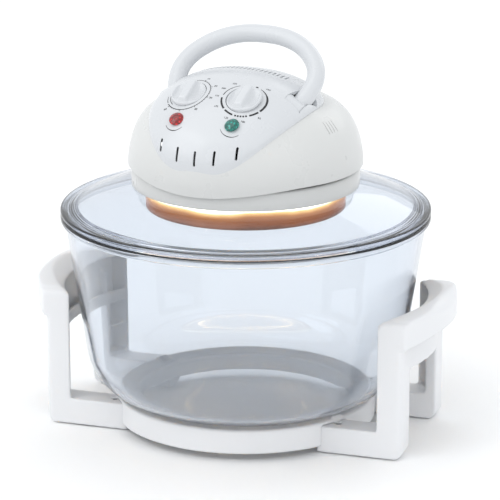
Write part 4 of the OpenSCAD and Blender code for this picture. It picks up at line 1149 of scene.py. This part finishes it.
class BuildPrints(bpy.types.Operator):
    """Lays the printed rings, ticks and numbers round the knobs, and the arcs under the lamps"""

    bl_idname = "oven.prints"
    bl_label = "Prints"

    LIFT, THICK = 0.05, 0.08

    def ribbon(self, radius, spans, steps_per_turn=180):
        """Arcs of print. A span is (start, end, width at the start, width at the end), in degrees and mm."""
        bm = bmesh.new()
        for start, end, w0, w1 in spans:
            steps = max(3, int(abs(end - start) / 360 * steps_per_turn))
            rows = []
            for k in range(steps + 1):
                t = k / steps
                a = math.radians(start + (end - start) * t)
                half = (w0 + (w1 - w0) * t) / 2 * MM
                rows.append([bm.verts.new(((radius + d) * math.cos(a), (radius + d) * math.sin(a), 0))
                             for d in (-half, 0, half)])
            for low, high in zip(rows, rows[1:]):
                for k in (0, 1):
                    bm.faces.new([low[k], low[k + 1], high[k + 1], high[k]])
        return mesh_from(bm, "ribbon")

    def number(self, text, height, x, y, turn=0.0):
        curve = bpy.data.curves.new(text, "FONT")
        curve.body, curve.size = text, height
        curve.align_x, curve.align_y = "CENTER", "CENTER"
        curve.resolution_u = 4
        obj = bpy.data.objects.new(text, curve)
        bpy.context.scene.collection.objects.link(obj)
        bpy.context.view_layer.update()
        mesh = bpy.data.meshes.new_from_object(obj.evaluated_get(bpy.context.evaluated_depsgraph_get()))
        bpy.data.objects.remove(obj)
        bpy.data.curves.remove(curve)
        mesh.transform(Matrix.Translation((x, y, 0)) @ Matrix.Rotation(turn, 4, "Z"))
        bm = bmesh.new()
        bm.from_mesh(mesh)
        bmesh.ops.remove_doubles(bm, verts=bm.verts, dist=1e-6)
        bmesh.ops.triangulate(bm, faces=bm.faces)
        bmesh.ops.subdivide_edges(bm, edges=[e for e in bm.edges if e.calc_length() > 0.8 * MM], cuts=1)
        return mesh_from(bm, text)

    def lay(self, meshes, place, surface):
        """Lays flat print on the cover: each point goes down the dial's own axis to the skin."""
        flat = joined(*meshes)
        down = -(place.to_3x3() @ CENTRE_LINE)
        bm = bmesh.new()
        bm.from_mesh(flat)
        bmesh.ops.recalc_face_normals(bm, faces=bm.faces)
        for face in bm.faces:
            if face.normal.z < 0:
                face.normal_flip()
        for vert in bm.verts:
            start = place @ vert.co - down * 0.03
            spot, normal, _, _ = surface.ray_cast(start, down, 0.08)
            if spot is None:
                raise RuntimeError("a print falls off the control cover")
            vert.co = spot + normal * (self.LIFT + self.THICK) * MM
        laid = bpy.data.meshes.new("print")
        bm.to_mesh(laid)
        bm.free()
        return with_modifiers(laid, ("SOLIDIFY", {"thickness": self.THICK * MM, "offset": -1.0}))

    def execute(self, context):
        sizes = context.scene.oven_panel
        ring, tall = sizes.ring_radius, sizes.number_height
        surface = cover_surface()
        ticks = tick_tree()

        timer = [self.ribbon(ring, [(98, -140, 0.35, 0.7), (-146, -172, 0.6, 0.3)]),
                 self.ribbon(ring - 2.6 * MM, [(-128, -172, 0.55, 0.35)]),
                 *[grow(ticks, Count=count, Radius=ring, Start=math.radians(start),
                        Sweep=math.radians(sweep), Length=length * MM, Width=width * MM)
                   for count, start, sweep, length, width in ((31, 80, -220, 0.9, 0.28),
                                                              (6, 68, -200, 1.8, 0.5))]]
        for text, angle in (("10", 68), ("20", 28), ("30", -12), ("40", -52), ("50", -92), ("60", -132)):
            reach = ring + 4.6 * MM
            timer.append(self.number(text, tall, reach * math.cos(math.radians(angle)),
                                     reach * math.sin(math.radians(angle))))
        warm = [self.ribbon(ring, [(66, 20, 0.35, 1.7), (20, -26, 1.7, 1.7), (-31, -56, 1.6, 1.6),
                                   (-100, -126, 1.6, 1.6), (-132, -172, 1.7, 1.5), (178, 122, 0.7, 0.35)]),
                grow(ticks, Count=5, Radius=ring - 0.8 * MM, Start=math.radians(-64), Sweep=math.radians(-28),
                     Length=1.6 * MM, Width=1.5 * MM),
                self.ribbon(ring + 0.3 * MM, [(82, 76, 1.5, 1.5)])]
        for text, angle in (("65", -38), ("100", -72), ("125", -108), ("150", -146), ("175", -176),
                            ("200", 158), ("225", 132), ("250", 58)):
            reach = ring + 5.2 * MM
            warm.append(self.number(text, tall * 0.86, reach * math.cos(math.radians(angle)),
                                    reach * math.sin(math.radians(angle))))
        for name, meshes, side in (("timer-scale", timer, -1), ("thermostat-scale", warm, 1)):
            add_piece(name, self.lay(meshes, dial_place(side), surface), "print ink", "lid", "black_plastic")
        arcs = []
        for side in (-1, 1):
            arc = self.ribbon(10.5 * MM, [(-150, -95, 0.25, 0.75), (-95, -42, 0.75, 0.25)])
            arcs.append(self.lay([arc], lens_place(side), surface))
        add_piece("lamp-arcs", joined(*arcs), "print ink", "lid", "black_plastic")
        return {"FINISHED"}


class BuildKnobs(bpy.types.Operator):
    """Makes the timer and thermostat knobs: a disc with two finger hollows and a raised grip"""

    bl_idname = "oven.knobs"
    bl_label = "Knobs"

    GAP, DISC, STEM = -1.3, 2.9, 9.0

    def height(self, x, y, radius, grip):
        """Height of the knob's face above the disc's foot, in millimetres."""
        r = math.hypot(x, y)
        edge = min(1.0, max(0.0, (radius - r) / 1.6))
        face = self.DISC - 1.4 + 1.4 * math.sqrt(max(0.0, 1 - (1 - edge) ** 2))
        hollow = 2.3 * math.exp(-((abs(x) - 9.6) / 3.6) ** 4 - (y / 9.0) ** 4)
        half = 4.4 - 0.5 * (abs(y) / radius) ** 2
        side = 1 / (1 + math.exp((abs(x) - half) / 0.38))
        end = 1 / (1 + math.exp((abs(y) - radius + 2.4) / 0.55))
        return face - hollow * edge + (grip + hollow * edge) * side * end * (1 - 0.05 * (y / radius) ** 2)

    def execute(self, context):
        sizes = context.scene.oven_panel
        radius, grip = sizes.knob_radius / MM, sizes.grip_height / MM
        for side, node, body in ((-1, "timer_knob", "timer"), (1, "thermostat_knob", "thermostat")):
            place = dial_place(side)
            bm = bmesh.new()
            count, rings = 120, 44
            levels = [radius * math.sin(math.pi / 2 * j / rings) ** 0.85 for j in range(rings + 1)]
            grid = []
            ring = [(math.cos(t), math.sin(t)) for t in (2 * math.pi * k / count for k in range(count))]
            for r in levels[1:]:
                grid.append([bm.verts.new(place @ (Vector((r * c, r * s, self.GAP + self.height(
                    r * c, r * s, radius, grip))) * MM)) for c, s in ring])
            middle = bm.verts.new(place @ (Vector((0, 0, self.GAP + self.height(0, 0, radius, grip))) * MM))
            below = []
            for r, z in ((radius, self.GAP), (3.0, self.GAP), (3.0, -self.STEM)):
                below.append([bm.verts.new(place @ (Vector((r * c, r * s, z)) * MM)) for c, s in ring])
            for k in range(count):
                bm.faces.new([middle, grid[0][k], grid[0][(k + 1) % count]])
            rows = grid + below
            for low, high in zip(rows, rows[1:]):
                for k in range(count):
                    m = (k + 1) % count
                    bm.faces.new([low[k], high[k], high[m], low[m]])
            bm.faces.new(rows[-1][::-1])
            add_piece(node.replace("_", "-") + "-moulding", mesh_from(bm, node), "knob plastic", body,
                      "panel_plastic", node, corner=50)
        return {"FINISHED"}


class BuildLamps(bpy.types.Operator):
    """Makes the two domed lamp lenses"""

    bl_idname = "oven.lamps"
    bl_label = "Lamp lenses"

    def execute(self, context):
        radius = context.scene.oven_panel.lens_radius / MM
        dome = radius * 1.65
        rise = [(r, math.sqrt(dome * dome - r * r) - radius * 1.1)
                for r in (radius * k / 16 for k in range(17))]
        outline = [*rise[:-1], (rise[-1][0], rise[-1][1], 0.4), (radius, 0.4, 0.2), (radius - 1.7, 0.4),
                   (radius - 1.7, -9, 0.3), (0, -9)]
        for side, node, finish in ((-1, "power_lens", "red lens"), (1, "heat_lens", "green lens")):
            mesh = lathe(node, [tuple(p) for p in round_corners(outline, 4)], 64, closed=False)
            mesh.transform(lens_place(side))
            add_piece(node.replace("_", "-") + "-dome", mesh, finish, "lid",
                      "red_lens" if side < 0 else "green_lens", node, corner=45)
        return {"FINISHED"}


class BuildHandle(bpy.types.Operator):
    """Makes the carry handle: a smooth arched bar with an eye at each end"""

    bl_idname = "oven.handle"
    bl_label = "Carry handle"

    def arch(self, turn):
        v = HANDLE_LEN * abs(math.sin(turn)) ** 0.87
        c = math.cos(turn)
        return Vector((-leg_reach(v) * math.copysign(abs(c) ** 0.87, c), 0, v)) * MM

    def execute(self, context):
        place = Matrix.Translation(Vector((0, PIVOT_Y, PIVOT_Z)) * MM)
        lean = place @ Matrix.Rotation(-HANDLE_LEAN, 4, "X")
        steps = 110
        path = [Vector((-HANDLE_FOOT, 0, -2)) * MM]
        path += [self.arch(math.radians(4 + 172 * k / steps)) for k in range(1, steps)]
        path += [Vector((HANDLE_FOOT, 0, -2)) * MM]
        bar = tube("handle", path, GRIP * MM, 40)
        bar.transform(lean)
        pin = prism(circle_outline(4.03 * MM, 48), -0.2, 0.2, place @ Matrix.Rotation(math.pi / 2, 4, "Y"))
        mesh = carved(bar, ("UNION", joined(hub(-1), hub(1))), ("DIFFERENCE", pin))
        add_piece("carry-handle-moulding", mesh, "panel plastic", "handle", "white_plastic", "carry_handle",
                  corner=40)
        return {"FINISHED"}


class OvenPanel(bpy.types.Panel):
    """Lists the settings and the steps that build the oven"""

    bl_idname = "OVEN_PT_builder"
    bl_label = "Halogen Oven"
    bl_space_type = "VIEW_3D"
    bl_region_type = "UI"
    bl_category = "Oven"

    def draw(self, context):
        for title, key, settings in GROUPS:
            box = self.layout.box()
            box.label(text=title)
            for name in settings.__annotations__:
                box.prop(getattr(context.scene, key), name)
        for operator in OPERATORS:
            self.layout.operator(operator.bl_idname, text=operator.bl_label)


GROUPS = (("Stage", "oven_stage", StageSettings), ("Finishes", "oven_finish", FinishSettings),
          ("Control panel", "oven_panel", PanelSettings), ("Heater", "oven_heater", HeaterSettings))
OPERATORS = (BuildStage, BuildStand, BuildBowl, BuildGlassLid, BuildHeater, BuildHead, BuildCover,
             BuildPrints, BuildKnobs, BuildLamps, BuildHandle)


def register():
    for _, name, group in GROUPS:
        bpy.utils.register_class(group)
        setattr(bpy.types.Scene, name, bpy.props.PointerProperty(type=group))
    for cls in (*OPERATORS, OvenPanel):
        bpy.utils.register_class(cls)


def unregister():
    for cls in (OvenPanel, *reversed(OPERATORS)):
        bpy.utils.unregister_class(cls)
    for _, name, group in reversed(GROUPS):
        delattr(bpy.types.Scene, name)
        bpy.utils.unregister_class(group)


def main():
    register()
    for operator in OPERATORS:
        family, step = operator.bl_idname.split(".")
        getattr(getattr(bpy.ops, family), step)()


if __name__ == "__main__":
    main()
